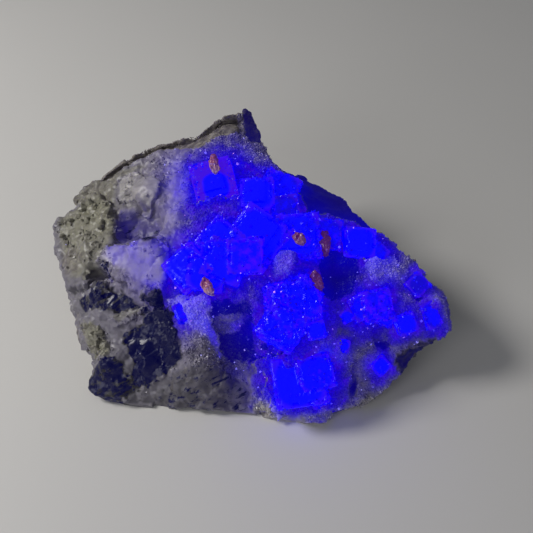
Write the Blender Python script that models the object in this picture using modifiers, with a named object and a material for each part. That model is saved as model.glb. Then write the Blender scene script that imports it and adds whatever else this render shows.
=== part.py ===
"""Fluorite with quartz: a hand specimen with cubes of fluorite grown on a lump of drusy quartz rock.

The design values are in millimetres, and MM turns them into metres. +Z is up and the rock lies on its flat
break at z = 0. The crystals are on its top and on the slope that faces -Y. A place is given in plan, as (x, y),
and the height there comes from the smooth upper surface, so that a crystal moves with the rock under it.
"""

import math
import random
from dataclasses import dataclass
from itertools import product

import bmesh
import bpy
import numpy as np
from mathutils import Matrix, Vector, noise

MM = 0.001
SEED = 20

# Clearance between a crystal and the pocket that it has grown in
GAP = 0.3

# Rock: the middle of its plan, the squares along a side of its starting cube, the grain of its remeshed
# skin, the share of faces kept of that, and how rounded the smooth surface is at its guide points
MIDDLE = (2.0, -1.0)
GRID_CUTS = 79
SKIN = 0.75
FACES_KEPT = 0.041
SOFTNESS = 4.0

# The break that the rock lies on is cut at this height, and the middle of the specimen's box in plan
BREAK_HEIGHT = 0.4
BOX_MIDDLE = (-0.85, -2.15)

# The way that the crystal-bearing slope faces; a cube stands proud of the rock along it
OUTWARDS = Vector((0.0, -0.682, 0.731))

# Its outline seen from above, as x, y and the height of the edge there, clockwise from the left
RIM = (
    (-53, 1, 18), (-55, 5, 20), (-55, 13, 22), (-48, 14, 26), (-50, 21, 26), (-40, 27, 33), (-24, 30, 40),
    (-16, 31, 42), (-11, 34, 44), (-3, 36, 46), (1, 38, 44), (4, 30, 40), (7, 22, 38), (11, 19, 37),
    (18, 15, 36), (22, 14, 35), (27, 11, 34), (29, 6, 34), (34, 1, 32), (39, -4, 30), (43, -10, 28),
    (48, -11, 26), (52, -14, 23), (54, -17, 20), (54, -20, 17), (50, -24, 15), (45, -25, 12), (42, -28, 9),
    (38, -31, 6), (32, -35, 3), (25, -37, 2), (15, -39, 2), (10, -39, 2), (1, -37, 2), (-6, -37, 2),
    (-15, -36, 2), (-25, -34, 2), (-32, -34, 3), (-38, -33, 4), (-42, -31, 5), (-40, -28, 8), (-42, -24, 10),
    (-45, -18, 12), (-48, -12, 14), (-50, -7, 16),
)

# Heights within the outline: the flat top, the slope to the front, the low corner and the tip
TOP = (
    (-9, 11, 41), (-24, 12, 36), (-32, 1, 32), (-28, -11, 29), (-40, 1, 28), (-45, -3, 24), (-48, -8, 17),
    (-17, -14, 32), (-2, -8, 37), (1, 7, 41), (12, 9, 39), (9, -4, 37), (14, -10, 35), (25, -5, 34),
    (22, -17, 27), (30, -10, 31), (41, -10, 28), (35, -18, 25), (42, -16, 25), (45, -14, 26), (43, -22, 21),
    (50, -19, 22),
)
SLOPE = (
    (-41, -18, 17), (-33, -24, 15), (-25, -23, 18), (-36, -32, 8), (-26, -32, 7), (-14, -26, 22),
    (-12, -33, 10), (1, -33, 8), (-4, -25, 25), (11, -24, 28), (6, -30, 19), (14, -35, 13), (14, -37, 5),
    (27, -23, 23), (24, -31, 16), (30, -33, 6), (38, -24, 16), (35, -29, 9),
)

# Undercut of the sides, as a share of the edge's height, and more of it under the tip
UNDERCUT = 0.22
TIP_UNDERCUT = 0.4
TIP_DIRECTION = math.radians(-18)

# The broken ledge along the back of the rock, as compass angles about the middle
LEDGE_FROM = math.radians(95)
LEDGE_TO = math.radians(152)
LEDGE_WIDTH = 5.0
LEDGE_DROP = 2.2

# Angular breaks all over: the size of a facet and how far it stands out, on top and on the sides
TOP_FACET = 7.0
TOP_FACET_RISE = 0.7
SIDE_FACET = 11.0
SIDE_FACET_RISE = 2.6
LATTICE = 24


@dataclass(frozen=True)
class Mound:
    """A raised or sunk oval of the upper surface; `edge` is the share of its radius that slopes."""

    x: float
    y: float
    half_x: float
    half_y: float
    rise: float
    turn: float = 0.0
    edge: float = 0.6


@dataclass(frozen=True)
class Sheet:
    """A crust of quartz with a steep, toothed edge."""

    rise: float
    outline: tuple
    tooth: float = 0.7
    edge: float = 0.9


@dataclass(frozen=True)
class Patch:
    """An oval of the rock with quartz points on it; `stems` is the share of them with a prism below the point."""

    x: float
    y: float
    half_x: float
    half_y: float
    count: int
    thickness: float
    turn: float = 0.0
    stems: float = 0.2


@dataclass(frozen=True)
class Cube:
    """One fluorite cube. `proud` is how far its middle face stands above the rock under it."""

    x: float
    y: float
    size: float
    twist: float
    proud: float
    tilt: float = 38.0
    lean: float = 0.0
    step: float = 0.0
    stretch: float = 1.0


@dataclass(frozen=True)
class Grain:
    """A stained grain on a cube's face, `across` and `along` that face from its middle."""

    cube: Cube
    across: float
    along: float
    width: float
    length: float
    turn: float


HOLLOWS = (
    Mound(-29, 2, 8, 7, -4.2, edge=0.4),
    Mound(-26, -3, 4, 3, -2.0),
    Mound(-39, -9, 6, 2.2, -5.0, turn=-30),
    Mound(-3, -28, 8, 6, -3.6, edge=0.5),
    Mound(22, -15, 6, 5, -3.2, edge=0.7),
    Mound(28.5, -32, 1.8, 3.4, -3.0, edge=0.5),
    Mound(36, -24, 4.2, 2.4, -3.0, edge=0.5),
    Mound(45, -17, 2.4, 1.8, -2.5, edge=0.5),
    Mound(25, -3, 1.0, 4.0, -2.6, turn=8),
    Mound(7, -30, 6.5, 1.1, -2.6),
)
LUMPS = (
    Mound(-27, 12, 5, 6, 2.6, turn=20, edge=0.9),
    Mound(-40, -13, 3.5, 3, 1.6, edge=0.9),
    Mound(-5, -25, 3.6, 3.6, 3.4, edge=0.9),
    Mound(10, -14, 4.6, 4.6, 2.0, edge=0.8),
    Mound(35, -12, 7.5, 3.6, 1.7, turn=-15, edge=0.8),
    Mound(50, -19, 4, 4, 1.4, edge=0.9),
    Mound(-14, -33, 14, 4, 1.5, edge=0.8),
    Mound(-36, -28, 5, 3.5, 1.6, turn=25, edge=0.8),
)
SHEETS = (
    Sheet(
        3.0,
        ((-39, -8), (-37, -4), (-34, -4), (-28, -6), (-23, -6), (-20, -10), (-19, -14), (-22, -18), (-27, -15),
         (-30, -13), (-36, -10)),
    ),
    Sheet(1.2, ((-31, -6), (-27, -5), (-22, -5), (-20, -9), (-23, -12), (-29, -9))),
    Sheet(
        2.6,
        ((-20, -20), (-15, -21), (-11, -23), (-8, -25), (-8, -26), (-10, -27), (-7, -28), (-6, -29), (-8, -30),
         (-13, -28), (-17, -24)),
    ),
    Sheet(
        2.2,
        ((-54, 5), (-55, 13), (-48, 14), (-50, 21), (-43, 18), (-37, 11), (-35, 2), (-35, -3), (-39, -8),
         (-43, -10), (-49, -8)),
        tooth=0.9,
    ),
)

PATCHES = (
    Patch(-44, 6, 7, 12, 16, 2.0, stems=0.4),
    Patch(-26, 13, 6, 5, 6, 2.0, stems=0.4),
    Patch(-20, 0, 4, 6, 3, 1.9),
    Patch(-5, 25, 8, 5, 5, 2.1),
    Patch(-14, -22, 8, 4, 3, 1.9, turn=-35),
    Patch(-13, -31, 15, 2, 4, 2.0),
    Patch(2, -21, 5, 4, 4, 1.8),
    Patch(24, -20, 6, 6, 5, 1.8),
    Patch(38, -12, 7, 3, 5, 1.8, turn=-30),
    Patch(49, -19, 3, 3, 3, 1.8),
    Patch(31, -29, 6, 3, 4, 1.8, turn=20),
    Patch(10, -15, 3, 3, 2, 1.7),
    Patch(20, 6, 7, 3, 4, 1.9, turn=-35),
)
POINT_HEIGHT = 1.25
STEM_LENGTH = 2.0
DRUSE_LEAN = math.radians(24)
POINT_SHOWS = 0.75
STEM_SHOWS = 0.5

PHANTOM = Cube(-8.9, 10.2, 10.8, 14, 3.0, tilt=36, lean=-4, step=0.7)
LEFT_CORNER = Cube(-15.0, -14.0, 9.5, 40, 3.2, lean=-10, step=0.5)
RIGHT_COATED = Cube(20.9, -4.2, 7.2, -5, 2.8, tilt=36, lean=4)
MIDDLE_COATED = Cube(13.0, -6.4, 11.5, 5, 3.0, tilt=38, step=0.5)
MAIN_CUBES = (
    Cube(2.9, 5.2, 8.4, 2, 3.0, tilt=36, lean=-5, step=0.5),
    Cube(9.0, 8.0, 9.0, -22, 2.8, tilt=34, lean=8),
    Cube(9.8, 1.2, 7.5, 8, 2.2, tilt=42),
    Cube(2.6, -7.2, 13.0, -35, 3.4, step=0.6),
    Cube(-6.8, -8.2, 9.0, -42, 2.8, lean=-6),
    Cube(-5.2, -13.6, 10.0, -20, 2.8),
    Cube(-0.3, -12.4, 8.5, 0, 3.6, tilt=42),
    LEFT_CORNER,
    Cube(-10.0, -16.0, 8.5, -8, 2.6),
    Cube(-8.6, -10.8, 4.6, 10, 3.4),
    MIDDLE_COATED,
    Cube(7.7, -6.2, 8.0, 32, 2.8),
    RIGHT_COATED,
)
CRACK_CUBES = (
    Cube(29.7, -5.0, 7.8, -5, 2.6, tilt=36, lean=4, step=0.4),
    Cube(33.4, -7.0, 6.2, -40, 1.9, lean=8),
)
FROSTED_TOP = Cube(14.2, -20.6, 8.0, 44, 2.8, tilt=42, lean=6)
FROSTED_CUBES = (
    Cube(12.2, -22.4, 11.0, 20, 3.4, tilt=42),
    Cube(9.2, -27.2, 10.0, -30, 3.0, tilt=46),
    Cube(8.8, -21.6, 7.6, 10, 2.4, tilt=42),
    FROSTED_TOP,
)
FRONT_CUBES = (
    Cube(13.4, -35.0, 12.4, 8, 2.8, tilt=44, step=0.5),
    Cube(17.6, -34.2, 8.6, 14, 2.2, tilt=44, lean=6),
    Cube(18.6, -36.6, 4.6, 30, 2.2, tilt=48),
)
SHELF_CUBES = (
    Cube(33.7, -19.2, 7.6, 10, 2.4, tilt=42, lean=4, step=0.4),
    Cube(30.2, -19.8, 6.0, 24, 1.8, tilt=42),
    Cube(36.2, -21.0, 3.6, -18, 1.8, tilt=44),
)
SINGLE_CUBES = {
    "fluorite_rim_cube": Cube(45.0, -13.8, 4.6, 42, 1.6, tilt=38, lean=6),
    "fluorite_round_cube": Cube(41.4, -22.3, 4.8, 22, 1.7, tilt=44),
    "fluorite_tip_blade": Cube(48.2, -20.4, 3.6, 24, 1.3, tilt=40, lean=8, stretch=1.8),
    "fluorite_low_wedge": Cube(35.6, -28.2, 3.8, 42, 1.4, tilt=46),
    "fluorite_speck_middle": Cube(17.5, -28.4, 4.0, 12, 1.3, tilt=44),
    "fluorite_speck_upper": Cube(25.7, -22.8, 2.6, 30, 0.9, tilt=42),
    "fluorite_speck_lower": Cube(25.0, -28.4, 2.4, -14, 0.9, tilt=44),
    "fluorite_left_speck": Cube(-15.6, -22.2, 4.4, 26, 2.6, tilt=36),
}

GRAINS = {
    "stained_grain_on_cube": Grain(PHANTOM, 0.4, 4.0, 2.3, 5.6, 8),
    "stained_grain_left": Grain(LEFT_CORNER, 5.6, -5.0, 2.4, 4.6, 28),
    "stained_grain_upper": Grain(MIDDLE_COATED, 0.6, -0.6, 2.6, 3.8, 40),
    "stained_grain_right": Grain(RIGHT_COATED, -0.9, -2.6, 3.4, 6.4, 6),
    "stained_grain_middle": Grain(FROSTED_TOP, 3.6, 4.0, 2.4, 5.0, 20),
}

LEAST_EDGE = 2e-6
EDGE_ROUND = 0.35
FROSTED_ROUND = 1.3


def smooth_step(share):
    """Eases a share from 0 to 1."""
    share = np.clip(share, 0.0, 1.0)
    return share * share * (3.0 - 2.0 * share)


class Ground:
    """The smooth upper surface through the rim, the top and the slope."""

    def __init__(self, points):
        self.points = np.array(points, float)
        count = len(self.points)
        system = np.zeros((count + 3, count + 3))
        system[:count, :count] = self.reach(self.points[:, :2])
        system[:count, count] = 1.0
        system[:count, count + 1:] = self.points[:, :2]
        system[count:, :count] = system[:count, count:].T
        self.weights = np.linalg.solve(system, np.append(self.points[:, 2], np.zeros(3)))

    def reach(self, places):
        apart = places[:, None, :] - self.points[None, :, :2]
        return np.sqrt((apart ** 2).sum(axis=2) + SOFTNESS ** 2)

    def height(self, places):
        return self.reach(places) @ self.weights[:-3] + self.weights[-3] + places @ self.weights[-2:]

    def point(self, x, y):
        return Vector((x, y, self.height(np.array([[x, y]]))[0]))

    def normal(self, x, y, reach=3.0):
        around = np.array([[x + reach, y], [x - reach, y], [x, y + reach], [x, y - reach]])
        east, west, north, south = self.height(around)
        return Vector(((west - east) / (2 * reach), (south - north) / (2 * reach), 1.0)).normalized()


def mound_rise(mound, places):
    """The height that one mound adds at each place."""
    turn = math.radians(mound.turn)
    offset = places - (mound.x, mound.y)
    across = offset[:, 0] * math.cos(turn) + offset[:, 1] * math.sin(turn)
    along = offset[:, 1] * math.cos(turn) - offset[:, 0] * math.sin(turn)
    radius = np.hypot(across / mound.half_x, along / mound.half_y)
    return mound.rise * smooth_step((1.0 - radius) / mound.edge)


def depth_inside(outline, places):
    """How far each place lies inside a closed outline; outside it is negative."""
    corners = np.array(outline, float)
    nearest = np.full(len(places), np.inf)
    inside = np.zeros(len(places), bool)
    for start, end in zip(corners, np.roll(corners, -1, axis=0)):
        side = end - start
        offset = places - start
        share = np.clip(offset @ side / (side @ side), 0.0, 1.0)
        nearest = np.minimum(nearest, np.hypot(*(offset - share[:, None] * side).T))
        spans = (start[1] > places[:, 1]) != (end[1] > places[:, 1])
        rise = np.where(side[1] == 0, 1.0, side[1])
        crossing = start[0] + side[0] * (places[:, 1] - start[1]) / rise
        inside ^= spans & (places[:, 0] < crossing)
    return np.where(inside, nearest, -nearest)


def sheet_rise(sheet, places, rough):
    """The height that one crust adds at each place."""
    return sheet.rise * smooth_step((depth_inside(sheet.outline, places) + sheet.tooth * rough) / sheet.edge)


def roughness(points, size):
    """Soft noise, from -1 to 1, at each point."""
    return np.array([noise.noise(Vector(point) / size) for point in points])


def facets(points, size):
    """Flat facets, each leaning its own way, from about -1 to 1: a random spot in each cell of a lattice owns one."""
    chance = np.random.default_rng(SEED)
    spots = chance.random((LATTICE, LATTICE, LATTICE, 3))
    leans = chance.uniform(-1.0, 1.0, (LATTICE, LATTICE, LATTICE, 3))
    scaled = points / size
    cells = np.floor(scaled).astype(int)
    nearest = np.full(len(points), np.inf)
    heights = np.zeros(len(points))
    for step in product((-1, 0, 1), repeat=3):
        around = cells + step
        index = tuple((around % LATTICE).T)
        away = scaled - around - spots[index]
        distance = (away ** 2).sum(axis=1)
        lean = leans[index]
        height = (away * lean).sum(axis=1) + 0.4 * lean[:, 0]
        closer = distance < nearest
        nearest = np.where(closer, distance, nearest)
        heights = np.where(closer, height, heights)
    return heights


def polar_outline(points):
    """Angles, radii and edge heights of the outline about the rock's middle, in the order of the angle."""
    around = np.array(points, float)
    offset = around[:, :2] - MIDDLE
    angles = np.arctan2(offset[:, 1], offset[:, 0])
    order = np.argsort(angles)
    return angles[order], np.hypot(*offset.T)[order], around[order, 2]


def subdivided_cube():
    """A cube from -1 to 1 with a fine square grid on each side, as a bmesh."""
    grid = bmesh.new()
    bmesh.ops.create_cube(grid, size=2.0)
    bmesh.ops.subdivide_edges(grid, edges=grid.edges[:], cuts=GRID_CUTS, use_grid_fill=True)
    return grid


def block_shape(cube_points, ground):
    """Places the points of a cube on the rock's smooth block; also gives each one's share of height and of radius."""
    flat = np.abs(cube_points[:, :2]).max(axis=1)
    angle = np.arctan2(cube_points[:, 1], cube_points[:, 0])
    angles, radii, heights = polar_outline(RIM)
    radius = np.interp(angle, angles, radii, period=2 * math.pi)
    edge_height = np.interp(angle, angles, heights, period=2 * math.pi)
    level = (cube_points[:, 2] + 1.0) / 2.0
    towards_tip = np.clip(np.cos(angle - TIP_DIRECTION), 0.0, 1.0) ** 6
    undercut = (UNDERCUT + TIP_UNDERCUT * towards_tip) * edge_height
    radius = radius - undercut * (1.0 - level) ** 1.2
    places = np.stack([np.cos(angle), np.sin(angle)], axis=1) * (radius * flat)[:, None] + MIDDLE
    is_top = level > 1.0 - 1e-6
    rim_places = np.stack([np.cos(angle), np.sin(angle)], axis=1) * radius[:, None] + MIDDLE
    z = np.where(is_top, ground.height(places), ground.height(rim_places) * level)
    return np.column_stack([places, z]), level, flat, angle, radius


def relief(points, flat, angle, radius):
    """The height of every form on the upper surface, at each point."""
    places = points[:, :2]
    rough = roughness(points, 1.6)
    total = sum(mound_rise(mound, places) for mound in HOLLOWS + LUMPS)
    total = total + sum(sheet_rise(sheet, places, rough) for sheet in SHEETS)
    in_ledge = (angle > LEDGE_FROM) & (angle < LEDGE_TO)
    from_edge = (1.0 - flat) * radius + 1.5 * roughness(points, 4.0)
    total = total - np.where(in_ledge, LEDGE_DROP * smooth_step((LEDGE_WIDTH - from_edge) / 1.2), 0.0)
    return total + TOP_FACET_RISE * facets(points, TOP_FACET)


def rock_mesh(ground):
    """The rock without its crystals, as a fine closed mesh."""
    grid = subdivided_cube()
    cube_points = np.array([vertex.co for vertex in grid.verts])
    points, level, flat, angle, radius = block_shape(cube_points, ground)
    for vertex, point in zip(grid.verts, points):
        vertex.co = point
    grid.normal_update()
    normals = np.array([vertex.normal for vertex in grid.verts])
    on_top = smooth_step((level - 0.9) / 0.1)
    on_side = smooth_step(level / 0.1) * (1.0 - on_top)
    push = on_top * relief(points, flat, angle, radius)
    push = push + on_side * SIDE_FACET_RISE * facets(points, SIDE_FACET)
    moved = points + normals * push[:, None]
    moved[:, 2] = np.where(level > 1e-6, np.maximum(moved[:, 2], 0.15 * level), 0.0)
    for vertex, point in zip(grid.verts, moved):
        vertex.co = Vector(point) * MM
    return finished_mesh(grid, "rock")


def finished_mesh(shape, name):
    """A mesh from a bmesh, with its faces outwards."""
    bmesh.ops.recalc_face_normals(shape, faces=shape.faces[:])
    mesh = bpy.data.meshes.new(name)
    shape.to_mesh(mesh)
    shape.free()
    return mesh


def quartz_point(shape, place, axis, thickness, turn):
    """Adds the six-sided point of a quartz crystal to a bmesh."""
    height = thickness * POINT_HEIGHT
    made = bmesh.ops.create_cone(
        shape, cap_ends=True, segments=6, radius1=thickness, radius2=0.0, depth=height
    )["verts"]
    upright = Vector((0, 0, 1)).rotation_difference(axis).to_matrix().to_4x4()
    centre = place + axis * height * (POINT_SHOWS - 0.5)
    pose = Matrix.Translation(centre) @ upright @ Matrix.Rotation(turn, 4, "Z")
    bmesh.ops.transform(shape, matrix=Matrix.Scale(MM, 4) @ pose, verts=made)


def quartz_stem(shape, place, axis, thickness, turn):
    """Adds a six-sided quartz crystal with a prism and a point to a bmesh."""
    length = thickness * STEM_LENGTH
    made = bmesh.ops.create_cone(
        shape, cap_ends=True, segments=6, radius1=thickness, radius2=thickness, depth=length
    )["verts"]
    top = max({face for vertex in made for face in vertex.link_faces}, key=lambda f: f.calc_center_median().z)
    point = bmesh.ops.poke(shape, faces=[top])["verts"]
    point[0].co.z += thickness * POINT_HEIGHT
    upright = Vector((0, 0, 1)).rotation_difference(axis).to_matrix().to_4x4()
    centre = place + axis * length * (STEM_SHOWS - 0.5)
    pose = Matrix.Translation(centre) @ upright @ Matrix.Rotation(turn, 4, "Z")
    bmesh.ops.transform(shape, matrix=Matrix.Scale(MM, 4) @ pose, verts=made + point)


def all_cubes():
    """Every fluorite cube."""
    groups = (PHANTOM,), MAIN_CUBES, CRACK_CUBES, FROSTED_CUBES, FRONT_CUBES, SHELF_CUBES
    return [cube for group in groups for cube in group] + list(SINGLE_CUBES.values())


def druse_mesh(ground, rock):
    """The quartz points of every patch, on the rock's surface, in one mesh of loose bodies."""
    shape = bmesh.new()
    chance = random.Random(SEED)
    taken = [(cube.x, cube.y, cube.size * 0.62) for cube in all_cubes()]
    for patch in PATCHES:
        turn = Matrix.Rotation(math.radians(patch.turn), 2)
        left = patch.count
        for _ in range(patch.count * 40):
            if not left:
                break
            spread = math.sqrt(chance.random())
            bearing = chance.uniform(0, math.tau)
            offset = turn @ Vector(
                (spread * math.cos(bearing) * patch.half_x, spread * math.sin(bearing) * patch.half_y)
            )
            x, y = patch.x + offset.x, patch.y + offset.y
            thickness = patch.thickness * chance.uniform(0.7, 1.2)
            if any(math.hypot(x - a, y - b) < keep + thickness * 0.8 for a, b, keep in taken):
                continue
            found, place, _, _ = rock.ray_cast(Vector((x, y, 90)) * MM, Vector((0, 0, -1)))
            if not found:
                continue
            axis = ground.normal(x, y)
            axis = (axis + Vector([chance.uniform(-1, 1) * math.tan(DRUSE_LEAN) for _ in range(3)])).normalized()
            grown = quartz_stem if chance.random() < patch.stems else quartz_point
            grown(shape, place / MM, axis, thickness, chance.uniform(0, math.tau))
            taken.append((x, y, thickness * 0.75))
            left -= 1
    return finished_mesh(shape, "druse")


def cube_pose(cube, ground):
    """Where a cube's main face has its middle, with Z along the face's normal."""
    turned = (
        Matrix.Rotation(math.radians(cube.tilt), 4, "X")
        @ Matrix.Rotation(math.radians(cube.lean), 4, "Y")
        @ Matrix.Rotation(math.radians(cube.twist), 4, "Z")
    )
    face = ground.point(cube.x, cube.y) + OUTWARDS * cube.proud
    return Matrix.Translation(face) @ turned


def box_object(name, pose, sides, rounding=0.0):
    """A block, with its edges cut off where it has a rounding; its top face's middle is at the pose."""
    shape = bmesh.new()
    bmesh.ops.create_cube(shape, size=1.0)
    bmesh.ops.scale(shape, vec=sides, verts=shape.verts[:])
    if rounding:
        bmesh.ops.bevel(shape, geom=shape.edges[:], offset=rounding, segments=1, affect="EDGES")
    bmesh.ops.translate(shape, vec=(0, 0, -sides[2] / 2), verts=shape.verts[:])
    bmesh.ops.transform(shape, matrix=Matrix.Scale(MM, 4) @ pose, verts=shape.verts[:])
    return bpy.data.objects.new(name, finished_mesh(shape, name))


def cube_blocks(cube, ground, grow, rounding):
    """The blocks of one cube: the cube itself and the raised growth step on its main face."""
    pose = cube_pose(cube, ground)
    side = cube.size + 2 * grow
    sides = (side, cube.size * cube.stretch + 2 * grow, side)
    outwards = Matrix.Translation((0, 0, grow))
    blocks = [box_object("cube", pose @ outwards, sides, rounding)]
    if cube.step:
        inner = cube.size * 0.66 + 2 * grow
        moved = Matrix.Translation((-cube.size * 0.1, cube.size * 0.1, cube.step + grow))
        sides = (inner, inner, cube.size * 0.5)
        blocks.append(box_object("step", pose @ moved, sides))
    return blocks


def grain_object(name, grain, ground, grow):
    """A stained grain, half sunk in its cube's face."""
    shape = bmesh.new()
    bmesh.ops.create_icosphere(shape, subdivisions=2, radius=1.0)
    for vertex in shape.verts:
        vertex.co *= 1.0 + 0.22 * noise.noise(vertex.co * 1.4 + Vector((grain.width, grain.length, 0)))
    half = Vector((grain.width / 2 + grow, grain.length / 2 + grow, grain.width * 0.42 + grow))
    bmesh.ops.scale(shape, vec=half, verts=shape.verts[:])
    turned = Matrix.Rotation(math.radians(grain.turn - grain.cube.twist), 4, "Z")
    face_turn = Matrix.Rotation(math.radians(-grain.cube.twist), 4, "Z")
    step = grain.cube.step
    place = face_turn @ Vector((grain.across, grain.along, 0)) + Vector((0, 0, step + grain.width * 0.08))
    pose = cube_pose(grain.cube, ground) @ Matrix.Translation(place) @ turned
    bmesh.ops.transform(shape, matrix=Matrix.Scale(MM, 4) @ pose, verts=shape.verts[:])
    return bpy.data.objects.new(name, finished_mesh(shape, name))


def baked(source, name):
    """A plain object from one with modifiers, which is removed."""
    bpy.context.view_layer.update()
    evaluated = source.evaluated_get(bpy.context.evaluated_depsgraph_get())
    mesh = bpy.data.meshes.new_from_object(evaluated)
    mesh.name = name
    bpy.data.objects.remove(source)
    return bpy.data.objects.new(name, mesh)


def united(name, blocks, stage):
    """One solid from blocks that run into each other."""
    first, *others = blocks
    stage.objects.link(first)
    for other in others:
        stage.objects.link(other)
        other.hide_render = True
        other.display_type = "WIRE"
        join = first.modifiers.new("join", "BOOLEAN")
        join.operation = "UNION"
        join.solver = "EXACT"
        join.object = other
    solid = baked(first, name)
    for other in others:
        bpy.data.objects.remove(other)
    return solid


def connected_faces(first, unseen):
    """The faces reached from one face across edges that join two faces."""
    body = {first}
    front = [first]
    while front:
        for edge in front.pop().edges:
            for face in edge.link_faces:
                if len(edge.link_faces) == 2 and face in unseen:
                    unseen.remove(face)
                    body.add(face)
                    front.append(face)
    return body


def largest_body(thing):
    """Drops the slivers that pockets have cut loose from a solid."""
    shape = bmesh.new()
    shape.from_mesh(thing.data)
    bmesh.ops.triangulate(shape, faces=shape.faces[:])
    bmesh.ops.dissolve_degenerate(shape, dist=LEAST_EDGE, edges=shape.edges[:])
    unseen = set(shape.faces)
    bodies = []
    while unseen:
        bodies.append(connected_faces(unseen.pop(), unseen))
    keep = max(bodies, key=len)
    bmesh.ops.delete(shape, geom=[face for face in shape.faces if face not in keep], context="FACES")
    shape.to_mesh(thing.data)
    shape.free()
    return thing


def carved(source, cutters, name, stage):
    """A solid with a pocket for each cutter."""
    for cutter in cutters:
        cut = source.modifiers.new("pocket", "BOOLEAN")
        cut.operation = "DIFFERENCE"
        cut.solver = "EXACT"
        cut.object = cutter
    stage.objects.link(source)
    return largest_body(baked(source, name))


def material(name, colour, roughness_value, transmission=0.0):
    """A plain finish for one kind of mineral."""
    made = bpy.data.materials.new(name)
    made.use_nodes = True
    shader = made.node_tree.nodes["Principled BSDF"]
    shader.inputs["Base Color"].default_value = (*colour, 1.0)
    shader.inputs["Roughness"].default_value = roughness_value
    shader.inputs["Transmission Weight"].default_value = transmission
    shader.inputs["Metallic"].default_value = 0.0
    made.diffuse_color = (*colour, 1.0)
    return made


def collection(name):
    """A collection in the scene."""
    made = bpy.data.collections.new(name)
    bpy.context.scene.collection.children.link(made)
    return made


def fluorite_groups():
    """The cubes and the edge rounding of each fluorite node."""
    groups = {
        "fluorite_phantom_cube": ((PHANTOM,), EDGE_ROUND),
        "fluorite_main_cluster": (MAIN_CUBES, 0.0),
        "fluorite_crack_cubes": (CRACK_CUBES, EDGE_ROUND),
        "fluorite_frosted_mass": (FROSTED_CUBES, FROSTED_ROUND),
        "fluorite_front_cubes": (FRONT_CUBES, EDGE_ROUND),
        "fluorite_shelf_cubes": (SHELF_CUBES, EDGE_ROUND),
    }
    for name, cube in SINGLE_CUBES.items():
        groups[name] = ((cube,), EDGE_ROUND)
    return groups


def below_break():
    """A block that takes everything under the flat break."""
    depth = 20.0
    return box_object("below_break", Matrix.Translation((0, 0, BREAK_HEIGHT)), (200, 200, depth))


def clear_scene():
    for thing in list(bpy.data.objects):
        bpy.data.objects.remove(thing)


def build():
    """Builds the specimen."""
    clear_scene()
    specimen = collection("fluorite_with_quartz")
    cutters = collection("cutters")
    cutters.hide_render = True
    ground = Ground(RIM + TOP + SLOPE)
    finishes = {
        "fluorite": material("fluorite", (0.05, 0.03, 0.75), 0.12, 0.35),
        "quartz": material("quartz", (0.42, 0.40, 0.50), 0.35),
        "grain": material("stained_quartz", (0.45, 0.16, 0.10), 0.4),
    }

    grain_cutters = {name: grain_object(name + "_pocket", grain, ground, GAP) for name, grain in GRAINS.items()}
    cube_cutters = {}
    nodes = []
    for name, (cubes, rounding) in fluorite_groups().items():
        blocks = [block for cube in cubes for block in cube_blocks(cube, ground, 0.0, rounding)]
        solid = united(name, blocks, cutters)
        own = [cutter for grain, cutter in grain_cutters.items() if GRAINS[grain].cube in cubes]
        for cutter in own:
            cutters.objects.link(cutter)
        nodes.append((carved(solid, own, name, cutters), "fluorite"))
        blocks = [block for cube in cubes for block in cube_blocks(cube, ground, GAP, rounding)]
        cube_cutters[name] = united(name + "_pocket", blocks, cutters)
        cutters.objects.link(cube_cutters[name])
    for name, grain in GRAINS.items():
        nodes.append((grain_object(name, grain, ground, 0.0), "grain"))

    rock = bpy.data.objects.new("rock", rock_mesh(ground))
    cutters.objects.link(rock)
    skin = rock.modifiers.new("skin", "REMESH")
    skin.mode = "VOXEL"
    skin.voxel_size = SKIN * MM
    fewer = rock.modifiers.new("fewer faces", "DECIMATE")
    fewer.ratio = FACES_KEPT
    rock = baked(rock, "rock")
    cutters.objects.link(rock)
    bpy.context.view_layer.update()
    druse = bpy.data.objects.new("druse", druse_mesh(ground, rock))
    cutters.objects.link(druse)
    join = rock.modifiers.new("druse", "BOOLEAN")
    join.operation = "UNION"
    join.solver = "EXACT"
    join.use_self = True
    join.object = druse
    rock = baked(rock, "rock")
    bpy.data.objects.remove(druse)
    pockets = list(cube_cutters.values()) + list(grain_cutters.values())
    pockets.append(below_break())
    cutters.objects.link(pockets[-1])
    nodes.append((carved(rock, pockets, "quartz_matrix", cutters), "quartz"))

    to_origin = Matrix.Translation(Vector((*BOX_MIDDLE, BREAK_HEIGHT)) * -MM)
    for thing, finish in nodes:
        specimen.objects.link(thing)
        thing.data.transform(to_origin)
        thing.data.materials.clear()
        thing.data.materials.append(finishes[finish])
    for pocket in pockets:
        bpy.data.objects.remove(pocket)
    bpy.context.view_layer.update()


build()
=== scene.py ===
"""Looks of the fluorite with quartz: a hand specimen whose fluorite glows blue under ultraviolet light.

Design values are in millimetres in the rock's own plan: +Z is up and the crystals are on the top and on the
slope that faces -Y. `PLAN_TO_FRAME` moves a finished mesh into the model's frame, in metres.
"""

import logging
import math
from collections.abc import Iterable, Iterator, Sequence
from dataclasses import dataclass, field
from enum import Enum
from itertools import product

import bmesh
import bpy
import numpy as np
from mathutils import Matrix, Vector, noise


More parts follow.
